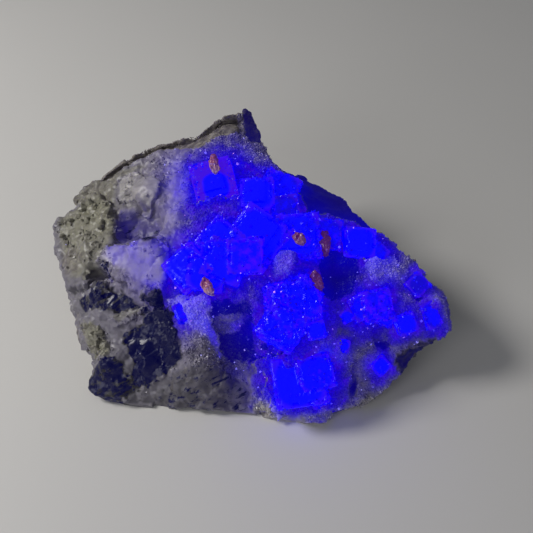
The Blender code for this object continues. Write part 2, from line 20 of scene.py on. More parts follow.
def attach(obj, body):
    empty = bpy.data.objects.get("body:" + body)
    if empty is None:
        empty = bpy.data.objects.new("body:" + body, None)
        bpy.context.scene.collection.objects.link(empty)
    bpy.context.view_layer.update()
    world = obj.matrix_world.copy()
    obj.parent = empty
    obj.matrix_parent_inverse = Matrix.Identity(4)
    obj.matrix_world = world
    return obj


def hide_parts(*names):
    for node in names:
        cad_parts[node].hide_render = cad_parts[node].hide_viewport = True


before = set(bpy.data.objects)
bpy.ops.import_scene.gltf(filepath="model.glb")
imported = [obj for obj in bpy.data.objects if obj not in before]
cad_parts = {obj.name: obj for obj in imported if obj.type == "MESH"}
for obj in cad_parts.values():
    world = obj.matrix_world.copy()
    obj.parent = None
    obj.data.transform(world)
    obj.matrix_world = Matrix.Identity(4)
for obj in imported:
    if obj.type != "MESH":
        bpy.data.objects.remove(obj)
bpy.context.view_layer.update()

log = logging.getLogger("fluorite_with_quartz")

MM = 0.001
SEED = 20
BREAK_HEIGHT = 0.4
PLAN_TO_FRAME = Vector((0.85, 2.15, -BREAK_HEIGHT))
OUTWARDS = Vector((0.0, -0.682, 0.731))

QUARTZ_IOR = 1.544
FLUORITE_IOR = 1.434
BLACK = (0.0, 0.0, 0.0)
STREAK_TURN = math.radians(44)
# Cells along a lattice of random spots before it repeats
FINE_LATTICE = 24
BLOCK_LATTICE = 12
# Pixels across the photograph, and the camera's sensor in millimetres
PHOTO_WIDTH = 533.0
SENSOR_WIDTH = 36.0

Array = np.ndarray
Material = bpy.types.Material
Mesh = bpy.types.Mesh
Object = bpy.types.Object
Socket = bpy.types.NodeSocket
Colour = tuple[float, float, float]
Outline = tuple[tuple[float, float], ...]


class Mask(Enum):
    """The values that the rock's mesh carries for its finishes and its crusts."""

    BLUE = "blue_light"
    CREAM = "cream"
    PALE = "pale"
    # Painted shade: dark blue in the hollows, the crack and on the shaded back and right flank
    PAINTED_SHADE = "painted_shade"
    # Dark glassy quartz, and painted shade in the gash, the hole, the hollow and on the right flank
    DARK = "dark_glass_and_shade"
    WEATHERED = "weathered"
    RIM = "rim_druse"
    UPPER = "upper_druse"
    LOWER = "lower_druse"
    RIGHT = "right_druse"


LOOKS = (Mask.BLUE, Mask.CREAM, Mask.PALE, Mask.PAINTED_SHADE, Mask.DARK, Mask.WEATHERED)


# ---- forms of the rock


@dataclass(frozen=True)
class Oval:
    """A soft-edged oval in plan that adds an amount; `soft` is the share of its radius that fades."""

    x: float
    y: float
    half_x: float
    half_y: float
    amount: float
    turn: float = 0.0
    soft: float = 0.6

    def over(self, places: Array) -> Array:
        """The amount that the oval adds at each place.

        Args:
            places: x and y of each place.

        Returns:
            One number for each place.
        """
        turn = math.radians(self.turn)
        offset = places[:, :2] - (self.x, self.y)
        across = offset[:, 0] * math.cos(turn) + offset[:, 1] * math.sin(turn)
        along = offset[:, 1] * math.cos(turn) - offset[:, 0] * math.sin(turn)
        radius = np.hypot(across / self.half_x, along / self.half_y)
        return self.amount * smooth_step((1.0 - radius) / self.soft)


@dataclass(frozen=True)
class Sheet:
    """A crust of quartz with a steep, toothed edge."""

    rise: float
    outline: Outline
    tooth: float = 0.7
    edge: float = 0.8

    def over(self, places: Array, rough: Array) -> Array:
        """The height that the sheet adds at each place.

        Args:
            places: x and y of each place.
            rough: the noise that makes the teeth.

        Returns:
            One height for each place.
        """
        return self.rise * share_inside(self.outline, places, self.tooth * rough, self.edge)


RIM = (
    (-53, 1, 18), (-55, 5, 20), (-55, 13, 22), (-48, 14, 26), (-50, 21, 26), (-40, 27, 33), (-24, 30, 40),
    (-16, 31, 42), (-11, 34, 44), (-3, 36, 46), (1, 38, 44), (4, 30, 40), (7, 22, 38), (11, 19, 37),
    (18, 15, 36), (22, 14, 35), (27, 11, 34), (29, 6, 34), (34, 1, 32), (39, -4, 30), (43, -10, 28),
    (48, -11, 26), (52, -14, 23), (54, -17, 20), (54, -20, 17), (50, -24, 15), (45, -25, 12), (42, -28, 9),
    (38, -31, 6), (32, -35, 3), (25, -37, 2), (15, -39, 2), (10, -39, 2), (1, -37, 2), (-6, -37, 2),
    (-15, -36, 2), (-25, -34, 2), (-32, -34, 3), (-38, -33, 4), (-42, -31, 5), (-40, -28, 8), (-42, -24, 10),
    (-45, -18, 12), (-48, -12, 14), (-50, -7, 16),
)
TOP = (
    (-9, 11, 41), (-24, 12, 36), (-32, 1, 32), (-28, -11, 29), (-40, 1, 28), (-45, -3, 24), (-48, -8, 17),
    (-17, -14, 32), (-2, -8, 37), (1, 7, 41), (12, 9, 39), (9, -4, 37), (14, -10, 35), (25, -5, 34),
    (22, -17, 27), (30, -10, 31), (41, -10, 28), (35, -18, 25), (42, -16, 25), (45, -14, 26), (43, -22, 21),
    (50, -19, 22),
)
SLOPE = (
    (-41, -18, 17), (-33, -24, 15), (-25, -23, 18), (-36, -32, 8), (-26, -32, 7), (-14, -26, 22),
    (-12, -33, 10), (1, -33, 8), (-4, -25, 25), (11, -24, 28), (6, -30, 19), (14, -35, 13), (14, -37, 5),
    (27, -23, 23), (24, -31, 16), (30, -33, 6), (38, -24, 16), (35, -29, 9),
)
FORMS = (
    Oval(-29, 2, 8, 7, -4.2, soft=0.4),
    Oval(-26, -3, 4, 3, -2.0),
    Oval(-39, -9, 6, 2.2, -5.0, turn=-30),
    Oval(-3, -28, 8, 6, -3.6, soft=0.5),
    Oval(22, -15, 6, 5, -3.2, soft=0.7),
    Oval(28.5, -32, 1.8, 3.4, -3.0, soft=0.5),
    Oval(36, -24, 4.2, 2.4, -3.0, soft=0.5),
    Oval(45, -17, 2.4, 1.8, -2.5, soft=0.5),
    Oval(25, -3, 1.0, 4.0, -2.6, turn=8),
    Oval(7, -30, 6.5, 1.1, -2.6),
    Oval(-27, 12, 5, 6, 2.6, turn=20, soft=0.9),
    Oval(-40, -13, 3.5, 3, 1.6, soft=0.9),
    Oval(-4.3, -24.0, 4.0, 2.2, 3.2, soft=0.9),
    Oval(10, -14, 4.6, 4.6, 2.0, soft=0.8),
    Oval(35, -12, 7.5, 3.6, 1.7, turn=-15, soft=0.8),
    Oval(50, -19, 4, 4, 1.4, soft=0.9),
    Oval(-14, -33, 14, 4, 1.5, soft=0.8),
    Oval(-36, -28, 5, 3.5, 1.6, turn=25, soft=0.8),
)
PLATE = Sheet(
    3.0,
    ((-39, -8), (-37, -4), (-34, -4), (-28, -6), (-23, -6), (-20, -10), (-19, -15), (-22, -19.5), (-27, -17),
     (-31, -14), (-36, -11)),
)
UPPER_PLATE = Sheet(1.2, ((-31, -6), (-27, -5), (-22, -5), (-20, -9), (-23, -12), (-29, -9)))
LOWER_PLATE = Sheet(
    2.2,
    ((-21, -20), (-17, -19.5), (-10, -21), (-8, -23), (-9, -25.5), (-7, -27), (-6, -28.5), (-8, -30), (-11, -29.5),
     (-15, -27), (-18, -23.5)),
)
LEFT_RIM = Sheet(
    2.2,
    ((-54, 5), (-55, 13), (-48, 14), (-50, 21), (-43, 18), (-37, 11), (-35, 2), (-35, -3), (-39, -8),
     (-43, -10), (-49, -8)),
    tooth=0.9,
)
SHEETS = (PLATE, UPPER_PLATE, LOWER_PLATE, LEFT_RIM)

LEDGE = (
    (-52, 22), (-44, 32), (-29, 37), (-20, 38), (-13, 41), (-3, 43), (-2, 29), (-8, 27), (-13, 24), (-20, 25),
    (-28, 26), (-36, 25), (-44, 23),
)
KNOB = ((-3, 43), (3, 44), (9, 38), (8, 30), (1, 27), (-1, 29))
UPPER_LEFT = ((-54, 15), (-52, 22), (-44, 25), (-28, 24), (-28, 21), (-37, 20), (-37, 11), (-42, 11), (-46, 13))
UPPER_LUMP = ((-37, 20), (-32, 22), (-28, 18), (-24, 13), (-24, 8), (-27, 6), (-30, 9), (-36, 11))
HOLLOW = ((-36, 10), (-29, 8), (-24, 6), (-22, -1), (-23, -6), (-28, -6), (-35, -4), (-37, 1))
RIM_BROWN = ((-54, 3), (-47, 2), (-43, -4), (-45, -8), (-51, -8), (-53, -3))
GASH = ((-43, -10), (-42, -8), (-39, -8), (-36, -10), (-36, -12), (-38, -11), (-41, -10))
GLASS_LUMP = ((-42, -12), (-41, -10), (-37, -12), (-35, -14), (-37, -15), (-40, -14))
CORNER_GREY = ((-47, -10), (-43, -11), (-35, -13), (-30, -16), (-24, -19.5), (-25, -21), (-34, -20), (-39, -18),
               (-45, -15))
CORNER_BLACK = ((-25, -19), (-22, -18), (-19, -22), (-17, -26), (-16, -29), (-19, -31), (-26, -33), (-30, -33),
                (-32, -31), (-30, -29), (-33, -25), (-33, -22), (-28, -21))
CORNER_HOLE = ((-40, -23), (-39, -22), (-37, -24), (-38, -26), (-40, -24))
CORNER_LOW = ((-44, -31), (-40, -28), (-36, -28), (-32, -29), (-32, -31), (-28, -33), (-32, -35), (-38, -35),
              (-43, -34))
CREAM_BLOBS = ((-46, -17), (-39, -20), (-37, -23), (-35, -27), (-37, -29), (-42, -25))
CREAM_EDGE = ((-37, -19), (-32, -18), (-28, -18), (-25, -17), (-24, -18), (-28, -20), (-34, -21))
BAND = ((-24, -32), (-18, -30), (-12, -31), (-6, -30), (1, -31), (3, -35), (1, -39), (-12, -39), (-23, -37),
        (-27, -34))
BALL = ((-8, -25), (-6.6, -23), (-4.2, -22.4), (-2, -22.8), (-0.6, -24.6), (-1.4, -26.6), (-4, -27.6), (-6.8, -27))
BALL_HOLLOW = ((-12, -21), (-5, -21), (2, -22), (3, -26), (4, -29), (0, -29), (-6, -29), (-9, -27), (-11, -24))
BACK_RIGHT = ((4, 32), (9, 29), (15, 26), (24, 21), (30, 16), (35, 11), (38, 5), (42, 0), (35, -1), (31, 0),
              (25, 1), (22, 2), (16, 0), (15, 4), (12, 14), (7, 22))
VALLEY = ((18, -10), (22, -8), (27, -8), (30, -10), (30, -14), (28, -18), (22, -20), (19, -17))
BACK_STRIP = ((8, 25), (13, 23), (22, 18), (27, 14), (31, 10), (34, 4), (30, 5), (24, 8), (16, 12), (12, 17))
WHITE_SHELF = ((30, -12), (34, -6), (39, -7), (43, -11), (42, -15), (37, -15.5), (32, -16))
PALE_LUMP = ((6, -13), (9, -10), (13, -11), (13, -14), (11, -18), (7, -18))
CRACK = ((1, -28), (4, -28.6), (10, -31), (14, -30.5), (14.4, -31.6), (10, -32.4), (4, -30), (1, -29))
LOW_RIGHT = ((14, -32), (21, -28), (30, -26), (37, -26), (38, -29), (30, -32), (23, -33), (18, -33))
BASE_BAND = ((1, -34.5), (5, -35), (9, -38), (19, -38.5), (28, -35), (36, -32), (42, -30), (42, -34), (33, -39),
             (19, -42), (9, -42), (0, -40))
RIGHT_SIDE = ((39, -26), (43, -24), (50, -23), (53, -25), (48, -28), (42, -31), (38, -29))
TIP = ((46, -18), (49, -14), (52, -16), (55, -19), (55, -21), (51, -23), (50, -20))
STRIP = ((-23, 25), (-17, 25), (-15, 14), (-15, 4), (-19, -3), (-23, -2), (-24, 12))
TOP_BLUE = ((-3, 20), (3, 19.5), (5, 16), (4, 12), (-2, 12), (-4, 15))
TOP_LAVENDER = ((-3, 25), (1, 27), (5, 24), (6, 19), (1, 20), (-3, 21))


def smooth_step(share: Array) -> Array:
    """Eases a share from 0 to 1."""
    share = np.clip(share, 0.0, 1.0)
    return share * share * (3.0 - 2.0 * share)


def depth_inside(outline: Outline, places: Array) -> Array:
    """How far each place lies inside a closed outline.

    Args:
        outline: the corners, in order.
        places: x and y of each place.

    Returns:
        The depth of each place, negative outside.
    """
    corners = np.array(outline, float)
    nearest = np.full(len(places), np.inf)
    inside = np.zeros(len(places), bool)
    for start, end in zip(corners, np.roll(corners, -1, axis=0)):
        side = end - start
        offset = places[:, :2] - start
        share = np.clip(offset @ side / (side @ side), 0.0, 1.0)
        nearest = np.minimum(nearest, np.hypot(*(offset - share[:, None] * side).T))
        spans = (start[1] > places[:, 1]) != (end[1] > places[:, 1])
        rise = np.where(side[1] == 0, 1.0, side[1])
        crossing = start[0] + side[0] * (places[:, 1] - start[1]) / rise
        inside ^= spans & (places[:, 0] < crossing)
    return np.where(inside, nearest, -nearest)


def share_inside(outline: Outline, places: Array, teeth: Array, edge: float) -> Array:
    """How much of each place an outline covers: 0 to 1 over the width of its toothed edge."""
    return smooth_step((depth_inside(outline, places) + teeth) / edge)


def roughness(points: Array, size: float) -> Array:
    """Soft noise, from -1 to 1, at each point, with lumps of that size."""
    return np.array([noise.noise(Vector(point) / size) for point in points])


def teeth_at(points: Array) -> Array:
    """The teeth of the outlines on the rock's skin."""
    return 0.6 * roughness(points, 1.1) + 0.3 * facets(points, 1.4, SEED + 6)


def spots_near(points: Array, size: float, spots: Array) -> Iterator[tuple[tuple[Array, ...], Array]]:
    """Goes through the random spots in each point's own cell of a lattice and in the cells around it.

    Args:
        points: x, y and z of each point.
        size: how wide a cell is.
        spots: where the spot is in each cell of the lattice, which repeats.

    Yields:
        The index of a cell for each point, and the point's offset from the cell's spot, in cells.
    """
    scaled = points / size
    cells = np.floor(scaled).astype(int)
    for step in product((-1, 0, 1), repeat=3):
        around = cells + step
        index = tuple((around % len(spots)).T)
        yield index, scaled - around - spots[index]


def facets(points: Array, size: float, seed: int = SEED) -> Array:
    """Flat facets that each lean their own way: a random spot in each cell of a lattice owns one.

    Args:
        points: x, y and z of each point.
        size: how wide a facet is.
        seed: picks the spots and the leans.

    Returns:
        A height for each point, from about -1 to 1.
    """
    chance = np.random.default_rng(seed)
    shape = (FINE_LATTICE, FINE_LATTICE, FINE_LATTICE, 3)
    spots = chance.random(shape)
    leans = chance.uniform(-1.0, 1.0, shape)
    nearest = np.full(len(points), np.inf)
    heights = np.zeros(len(points))
    for index, away in spots_near(points, size, spots):
        distance = (away ** 2).sum(axis=1)
        lean = leans[index]
        height = (away * lean).sum(axis=1) + 0.4 * lean[:, 0]
        closer = distance < nearest
        nearest = np.where(closer, distance, nearest)
        heights = np.where(closer, height, heights)
    return heights


def crystals(points: Array, size: float, seed: int = SEED) -> Array:
    """Blocky crystals that stand out of each other, one about a random spot in each cell of a lattice.

    Args:
        points: x, y and z of each point.
        size: how wide a crystal is.
        seed: picks the spots, the heights and how each crystal is turned.

    Returns:
        A height for each point, from about -1 in the seams to 1 on the tallest.
    """
    chance = np.random.default_rng(seed)
    shape = (BLOCK_LATTICE, BLOCK_LATTICE, BLOCK_LATTICE)
    spots = chance.random((*shape, 3))
    tall = chance.uniform(0.0, 0.5, shape)
    turns = np.linalg.qr(chance.normal(size=(*shape, 3, 3)))[0]
    heights = np.full(len(points), -np.inf)
    for index, away in spots_near(points, size, spots):
        turned = np.einsum("nij,nj->ni", turns[index], away)
        heights = np.maximum(heights, tall[index] - np.abs(turned).max(axis=1))
    return 0.6 + 2.0 * heights


def domes(points: Array, size: float, seed: int = SEED) -> Array:
    """Rounded knobs, one about a random spot in each cell of a lattice.

    Args:
        points: x, y and z of each point.
        size: how wide a knob is.
        seed: picks the spots.

    Returns:
        A height for each point, from about -1 between knobs to 1 on top of one.
    """
    spots = np.random.default_rng(seed).random((FINE_LATTICE, FINE_LATTICE, FINE_LATTICE, 3))
    nearest = np.full(len(points), np.inf)
    for _, away in spots_near(points, size, spots):
        nearest = np.minimum(nearest, (away ** 2).sum(axis=1))
    return 1.0 - 2.6 * nearest


class Ground:
    """The smooth upper surface through the rim, the top and the slope."""

    softness: float = 4.0

    def __init__(self, points: Sequence[tuple[float, float, float]]) -> None:
        """Fits the surface through its guide points.

        Args:
            points: x, y and height of each guide point.
        """
        self.points = np.array(points, float)
        count = len(self.points)
        system = np.zeros((count + 3, count + 3))
        system[:count, :count] = self.reach(self.points[:, :2])
        system[:count, count] = 1.0
        system[:count, count + 1:] = self.points[:, :2]
        system[count:, :count] = system[:count, count:].T
        self.weights = np.linalg.solve(system, np.append(self.points[:, 2], np.zeros(3)))

    def reach(self, places: Array) -> Array:
        """The softened distance from each place to each guide point."""
        apart = places[:, None, :] - self.points[None, :, :2]
        return np.sqrt((apart ** 2).sum(axis=2) + self.softness ** 2)

    def height(self, places: Array) -> Array:
        """The height of the surface at each place."""
        return self.reach(places) @ self.weights[:-3] + self.weights[-3] + places @ self.weights[-2:]

    def point(self, x: float, y: float) -> Vector:
        """The point of the surface over a place."""
        return Vector((x, y, self.height(np.array([[x, y]]))[0]))


GROUND = Ground(RIM + TOP + SLOPE)


# ---- meshes


def rows_of(items: bpy.types.bpy_prop_collection, name: str) -> Array:
    """One vector of each item, as rows of x, y and z.

    Args:
        items: a mesh's vertices or their normals.
        name: the property that holds the vector.

    Returns:
        The rows.
    """
    flat = np.empty(len(items) * 3, np.float32)
    items.foreach_get(name, flat)
    return flat.reshape(-1, 3).astype(float)


def points_of(mesh: Mesh) -> Array:
    """The vertices of a mesh."""
    return rows_of(mesh.vertices, "co")


def normals_of(mesh: Mesh) -> Array:
    """The normals at the vertices of a mesh."""
    return rows_of(mesh.vertex_normals, "vector")


def move_points(mesh: Mesh, points: Array) -> None:
    """Gives the vertices of a mesh new places."""
    mesh.vertices.foreach_set("co", points.astype(np.float32).ravel())
    mesh.update()


def give_values(mesh: Mesh, name: str, values: Array) -> None:
    """Stores one number for each vertex under a name."""
    stored = mesh.attributes.new(name, "FLOAT", "POINT")
    stored.data.foreach_set("value", values.astype(np.float32))


def new_object(name: str, data: bpy.types.ID) -> Object:
    """An object for a mesh, a camera or a light, linked to the scene.

    Args:
        name: the object's name.
        data: what it shows.

    Returns:
        The object.
    """
    made = bpy.data.objects.new(name, data)
    bpy.context.scene.collection.objects.link(made)
    return made


def thin_out(thing: Object, share: float) -> None:
    """Lets an object keep a share of its faces."""
    thing.modifiers.new("fewer faces", "DECIMATE").ratio = share


def settled(thing: Object) -> Mesh:
    """The mesh of an object with its modifiers applied; the object is removed.

    Args:
        thing: the object.

    Returns:
        The mesh.
    """
    bpy.context.view_layer.update()
    evaluated = thing.evaluated_get(bpy.context.evaluated_depsgraph_get())
    mesh = bpy.data.meshes.new_from_object(evaluated)
    bpy.data.objects.remove(thing)
    return mesh


def mesh_of(shape: bmesh.types.BMesh, name: str) -> Mesh:
    """A mesh from a bmesh, which is freed.

    Args:
        shape: the bmesh.
        name: the mesh's name.

    Returns:
        The mesh.
    """
    made = bpy.data.meshes.new(name)
    shape.to_mesh(made)
    shape.free()
    return made


def shaped(shape: bmesh.types.BMesh, name: str) -> Mesh:
    """A mesh from a bmesh, with its faces outwards."""
    bmesh.ops.recalc_face_normals(shape, faces=shape.faces[:])
    return mesh_of(shape, name)


def joined(meshes: Iterable[Mesh], name: str) -> Mesh:
    """One mesh that holds several, loose.

    Args:
        meshes: what it holds.
        name: its name.

    Returns:
        The mesh.
    """
    shape = bmesh.new()
    for mesh in meshes:
        shape.from_mesh(mesh)
    return mesh_of(shape, name)


def reskinned(mesh: Mesh, voxel: float) -> Mesh:
    """Joins what overlaps in a mesh into one closed, even skin of squares as wide as a voxel.

    Args:
        mesh: closed shells, in millimetres.
        voxel: how wide the squares are.

    Returns:
        The new mesh.
    """
    thing = new_object("skin", mesh)
    skin = thing.modifiers.new("skin", "REMESH")
    skin.mode = "VOXEL"
    skin.voxel_size = voxel
    return settled(thing)


def finished_piece(name: str, mesh: Mesh, finish: Material,
                   nodes: Sequence[str] = (), crisp: float = 0.0) -> Object:
    """Dresses a mesh that is already in the frame and lets it ride on the specimen.

    Args:
        name: the piece's name.
        mesh: its mesh, in metres in the frame.
        finish: its material.
        nodes: the CAD nodes that it replaces.
        crisp: the angle in degrees over which an edge stays crisp; at 0 every face keeps its own facet.

    Returns:
        The piece's object.
    """
    mesh.name = name
    mesh.materials.clear()
    mesh.materials.append(finish)
    mesh.polygons.foreach_set("use_smooth", np.full(len(mesh.polygons), crisp > 0.0))
    if crisp:
        mesh.set_sharp_from_angle(angle=math.radians(crisp))
    mesh.update()
    piece = new_object(name, mesh)
    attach(piece, "root")
    if nodes:
        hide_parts(*nodes)
    log.info("%s: %d faces", name, len(mesh.polygons))
    return piece


def into_frame(mesh: Mesh) -> Mesh:
    """Moves a mesh from the rock's plan, in millimetres, into the frame, in metres."""
    mesh.transform(Matrix.Scale(MM, 4) @ Matrix.Translation(PLAN_TO_FRAME))
    return mesh


# ---- node trees


class Bench:
    """A node tree under construction."""

    def __init__(self, tree: bpy.types.NodeTree) -> None:
        """Starts on a tree."""
        self.tree = tree

    def node(self, kind: str, sockets: dict | None = None, **settings: object) -> bpy.types.Node:
        """Adds a node.

        Args:
            kind: its type.
            sockets: what each input gets, by name or number: a value, or the output socket that feeds it.
            settings: its properties.

        Returns:
            The node.
        """
        made = self.tree.nodes.new(kind)
        for name, value in settings.items():
            setattr(made, name, value)
        self.feed(made, sockets or {})
        return made

    def feed(self, node: bpy.types.Node, sockets: dict) -> None:
        """Gives inputs of a node, by name or number, a value or the output socket that feeds them.

        Args:
            node: the node.
            sockets: what each of its inputs gets.
        """
        for name, value in sockets.items():
            if isinstance(value, Socket):
                self.tree.links.new(value, node.inputs[name])
            else:
                node.inputs[name].default_value = value

    def value(self, kind: str, first: object, second: object = 0.0, third: object = 0.0) -> Socket:
        """The result of a Math node."""
        return self.node("ShaderNodeMath", {0: first, 1: second, 2: third}, operation=kind).outputs[0]

    def plus(self, first: object, second: object) -> Socket:
        """A sum."""
        return self.value("ADD", first, second)

    def times(self, first: object, second: object) -> Socket:
        """A product."""
        return self.value("MULTIPLY", first, second)

    def line(self, value: object, slope: object, start: object) -> Socket:
        """A value on a straight line: `start` at 0, and `slope` more for each 1."""
        return self.value("MULTIPLY_ADD", value, slope, start)

    def attribute(self, name: str) -> Socket:
        """The value that a mesh carries under a name."""
        return self.node("ShaderNodeAttribute", attribute_name=name).outputs["Fac"]

    def millimetres(self) -> Socket:
        """Object coordinates in millimetres."""
        place = self.node("ShaderNodeTexCoord").outputs["Object"]
        return self.node("ShaderNodeVectorMath", {0: place, "Scale": 1.0 / MM}, operation="SCALE").outputs[0]

    def noise(self, place: Socket, size: float, detail: float = 3.0, rough: float = 0.6) -> Socket:
        """Noise from 0 to 1 with lumps of a size in millimetres."""
        sockets = {"Vector": place, "Scale": 1.0 / size, "Detail": detail, "Roughness": rough}
        return self.node("ShaderNodeTexNoise", sockets).outputs["Fac"]

    def eased(self, value: Socket, low: float, high: float) -> Socket:
        """A value eased from 0 at `low` to 1 at `high`."""
        sockets = {"Value": value, "From Min": low, "From Max": high}
        return self.node("ShaderNodeMapRange", sockets, interpolation_type="SMOOTHSTEP").outputs["Result"]

    def mixed(self, share: object, first: object, second: object, kind: str = "MIX") -> Socket:
        """Two colours mixed by a share."""
        sockets = {0: share, 6: with_alpha(first), 7: with_alpha(second)}
        return self.node("ShaderNodeMix", sockets, data_type="RGBA", blend_type=kind).outputs[2]

    def grey(self, level: Socket) -> Socket:
        """A grey of that level."""
        return self.node("ShaderNodeCombineColor", {0: level, 1: level, 2: level}).outputs[0]

    def streaked(self, place: Socket, scale: tuple[float, float, float]) -> Socket:
        """A place turned by 44 degrees and stretched, for noise that runs in streaks."""
        sockets = {"Vector": place, "Rotation": (0.5, 0.2, STREAK_TURN), "Scale": scale}
        return self.node("ShaderNodeMapping", sockets, vector_type="TEXTURE").outputs[0]

    def bump(self, height: Socket, strength: float, distance: float) -> Socket:
        """The normal of a bumpy surface; the distance is in metres."""
        return self.node("ShaderNodeBump", {"Strength": strength, "Distance": distance, "Height": height}).outputs[0]

    def ramp(self, share: Socket, stops: Sequence[tuple[float, Colour]]) -> Socket:
        """A colour read along a row of stops.

        Args:
            share: where on the row it is read, from 0 to 1.
            stops: the place and the colour of each stop.

        Returns:
            The colour.
        """
        made = self.node("ShaderNodeValToRGB", {0: share})
        row = made.color_ramp.elements
        while len(row) < len(stops):
            row.new(0.5)
        for element, (place, colour) in zip(row, stops):
            element.position = place
            element.color = (*colour, 1.0)
        return made.outputs["Color"]


def with_alpha(colour: object) -> object:
    """A colour with its alpha; a socket stays as it is."""
    return (*colour, 1.0) if isinstance(colour, tuple) else colour


def new_material(name: str) -> tuple[Material, Bench, bpy.types.Node]:
    """A material, the bench for its tree and its Principled shader.

    Args:
        name: the material's name.

    Returns:
        The three, in that order.
    """
    made = bpy.data.materials.new(name)
    made.use_nodes = True
    return made, Bench(made.node_tree), made.node_tree.nodes["Principled BSDF"]


# ---- finishes


@dataclass(frozen=True)
class QuartzFinish:
    """Quartz rock: grey to cream, violet near the glowing fluorite where its blue light is painted on, dark glass in
    the corner, painted shade in hollows and on shaded flanks, weathered flanks.
    """

    name: str = "quartz"
    roughness: float = 0.42
    coat: float = 0.25
    relief: float = 0.12
    translucency: float = 0.45
    by_crystal: bool = False

    cream: Colour = (0.235, 0.228, 0.175)
    olive: Colour = (0.155, 0.148, 0.112)
    milk: Colour = (0.17, 0.16, 0.185)
    glass: Colour = (0.010, 0.011, 0.04)
    smoke: Colour = (0.11, 0.12, 0.19)
    # The colour of the painted shade
    painted_shade_colour: Colour = (0.003, 0.002, 0.02)
    broken_rock: Colour = (0.10, 0.088, 0.088)
    broken_edge: Colour = (0.225, 0.205, 0.185)
    # Base colours painted with the fluorite's blue light, from none to full
    body_stops: tuple[tuple[float, Colour], ...] = (
        (0.0, (0.165, 0.157, 0.177)),
        (0.25, (0.18, 0.16, 0.25)),
        (0.5, (0.055, 0.035, 0.16)),
        (0.8, (0.018, 0.004, 0.10)),
        (1.0, (0.006, 0.001, 0.06)),
    )
    purple: Colour = (0.024, 0.001, 0.50)
    milk_glow: Colour = (0.012, 0.008, 0.10)
    glass_glow: Colour = (0.0005, 0.0005, 0.03)
    # The glow inside the painted shade, where no blue light reaches it and where it does
    unlit_shade_glow: Colour = (0.004, 0.001, 0.04)
    lit_shade_glow: Colour = (0.001, 0.0, 0.36)
    # Painted glints
    white_glint: Colour = (0.8, 0.78, 0.74)
    blue_glint: Colour = (0.30, 0.22, 0.8)
    warm_glint: Colour = (0.9, 0.35, 0.25)
    glint_glow: Colour = (0.10, 0.07, 0.9)
    scatter: Colour = (0.9, 0.85, 1.3)
    scatter_scale: float = 0.0013
    glow_stops: tuple[tuple[float, Colour], ...] = (
        (0.0, BLACK),
        (0.15, (0.002, 0.001, 0.015)),
        (0.35, (0.008, 0.004, 0.14)),
        (0.55, (0.008, 0.001, 0.32)),
        (0.8, (0.006, 0.0, 0.54)),
        (1.0, (0.002, 0.0, 0.76)),
    )

    def material(self) -> Material:
        """Builds the material.

        Returns:
            The material.
        """
        made, bench, shader = new_material(self.name)
        place = bench.millimetres()
        blue, cream, pale, painted_shade, dark, weathered = (bench.attribute(mask.value) for mask in LOOKS)
        coarse = bench.noise(place, 4.0, 4.0, 0.62)
        fine = bench.noise(place, 0.8, 4.0, 0.7)
        veins = bench.noise(bench.streaked(place, (3.2, 0.8, 1.2)), 1.7, 5.0, 0.66)

        # The body: blue by the light that reaches it, cream, milk, bare broken rock, painted shade in dark blue, and
        # dark glass with painted shade where its mask lies in the gash, the hole and the hollow
        uneven = bench.line(coarse, 0.5, -0.25)
        glow = bench.plus(blue, bench.times(uneven, bench.eased(blue, 0.05, 0.4)))
        colour = bench.ramp(glow, self.body_stops)
        creamy = bench.mixed(bench.eased(veins, 0.35, 0.65), self.olive, self.cream)
        colour = bench.mixed(bench.times(cream, bench.value("SUBTRACT", 1.0, blue)), colour, creamy)
        milky = bench.times(pale, bench.line(coarse, 1.2, 0.2))
        milk = bench.mixed(milky, BLACK, self.milk)
        colour = bench.mixed(1.0, colour, milk, "ADD")
        patches = bench.plus(weathered, bench.line(coarse, 0.6, -0.3))
        bare = bench.eased(patches, 0.3, 0.7)
        broken = bench.mixed(bench.eased(veins, 0.42, 0.62), self.broken_rock, self.broken_edge)
        colour = bench.mixed(bare, colour, broken)
        # Painted shade: dark blue where its mask lies, in hollows and on shaded flanks
        in_painted_shade = bench.eased(bench.plus(painted_shade, bench.line(fine, 0.5, -0.25)), 0.25, 0.75)
        colour = bench.mixed(in_painted_shade, colour, self.painted_shade_colour)
        # Streaked dark glass, over the glassy corner and over the painted shade of the same mask
        glassy = bench.plus(dark, bench.line(veins, 2.6, -1.3))
        glassy = bench.times(bench.eased(glassy, 0.42, 0.62), bench.eased(dark, 0.05, 0.3))
        lines = bench.noise(bench.streaked(place, (9.0, 0.8, 1.4)), 1.5, 4.0, 0.6)
        smoky = bench.mixed(bench.eased(lines, 0.56, 0.7), self.glass, self.smoke)
        colour = bench.mixed(glassy, colour, smoky)

        # How bright it is from place to place, and in the druse from crystal to crystal
        light = bench.line(fine, 0.44, 0.78)
        # Darker over the dark glass and over its painted shade
        light = bench.times(light, bench.line(bench.eased(dark, 0.05, 0.5), -0.76, 1.0))
        if self.by_crystal:
            shade = bench.attribute("shade")
            light = bench.times(light, bench.line(shade, 0.45, 0.8))
        brightness = bench.grey(light)
        colour = bench.mixed(1.0, colour, brightness, "MULTIPLY")

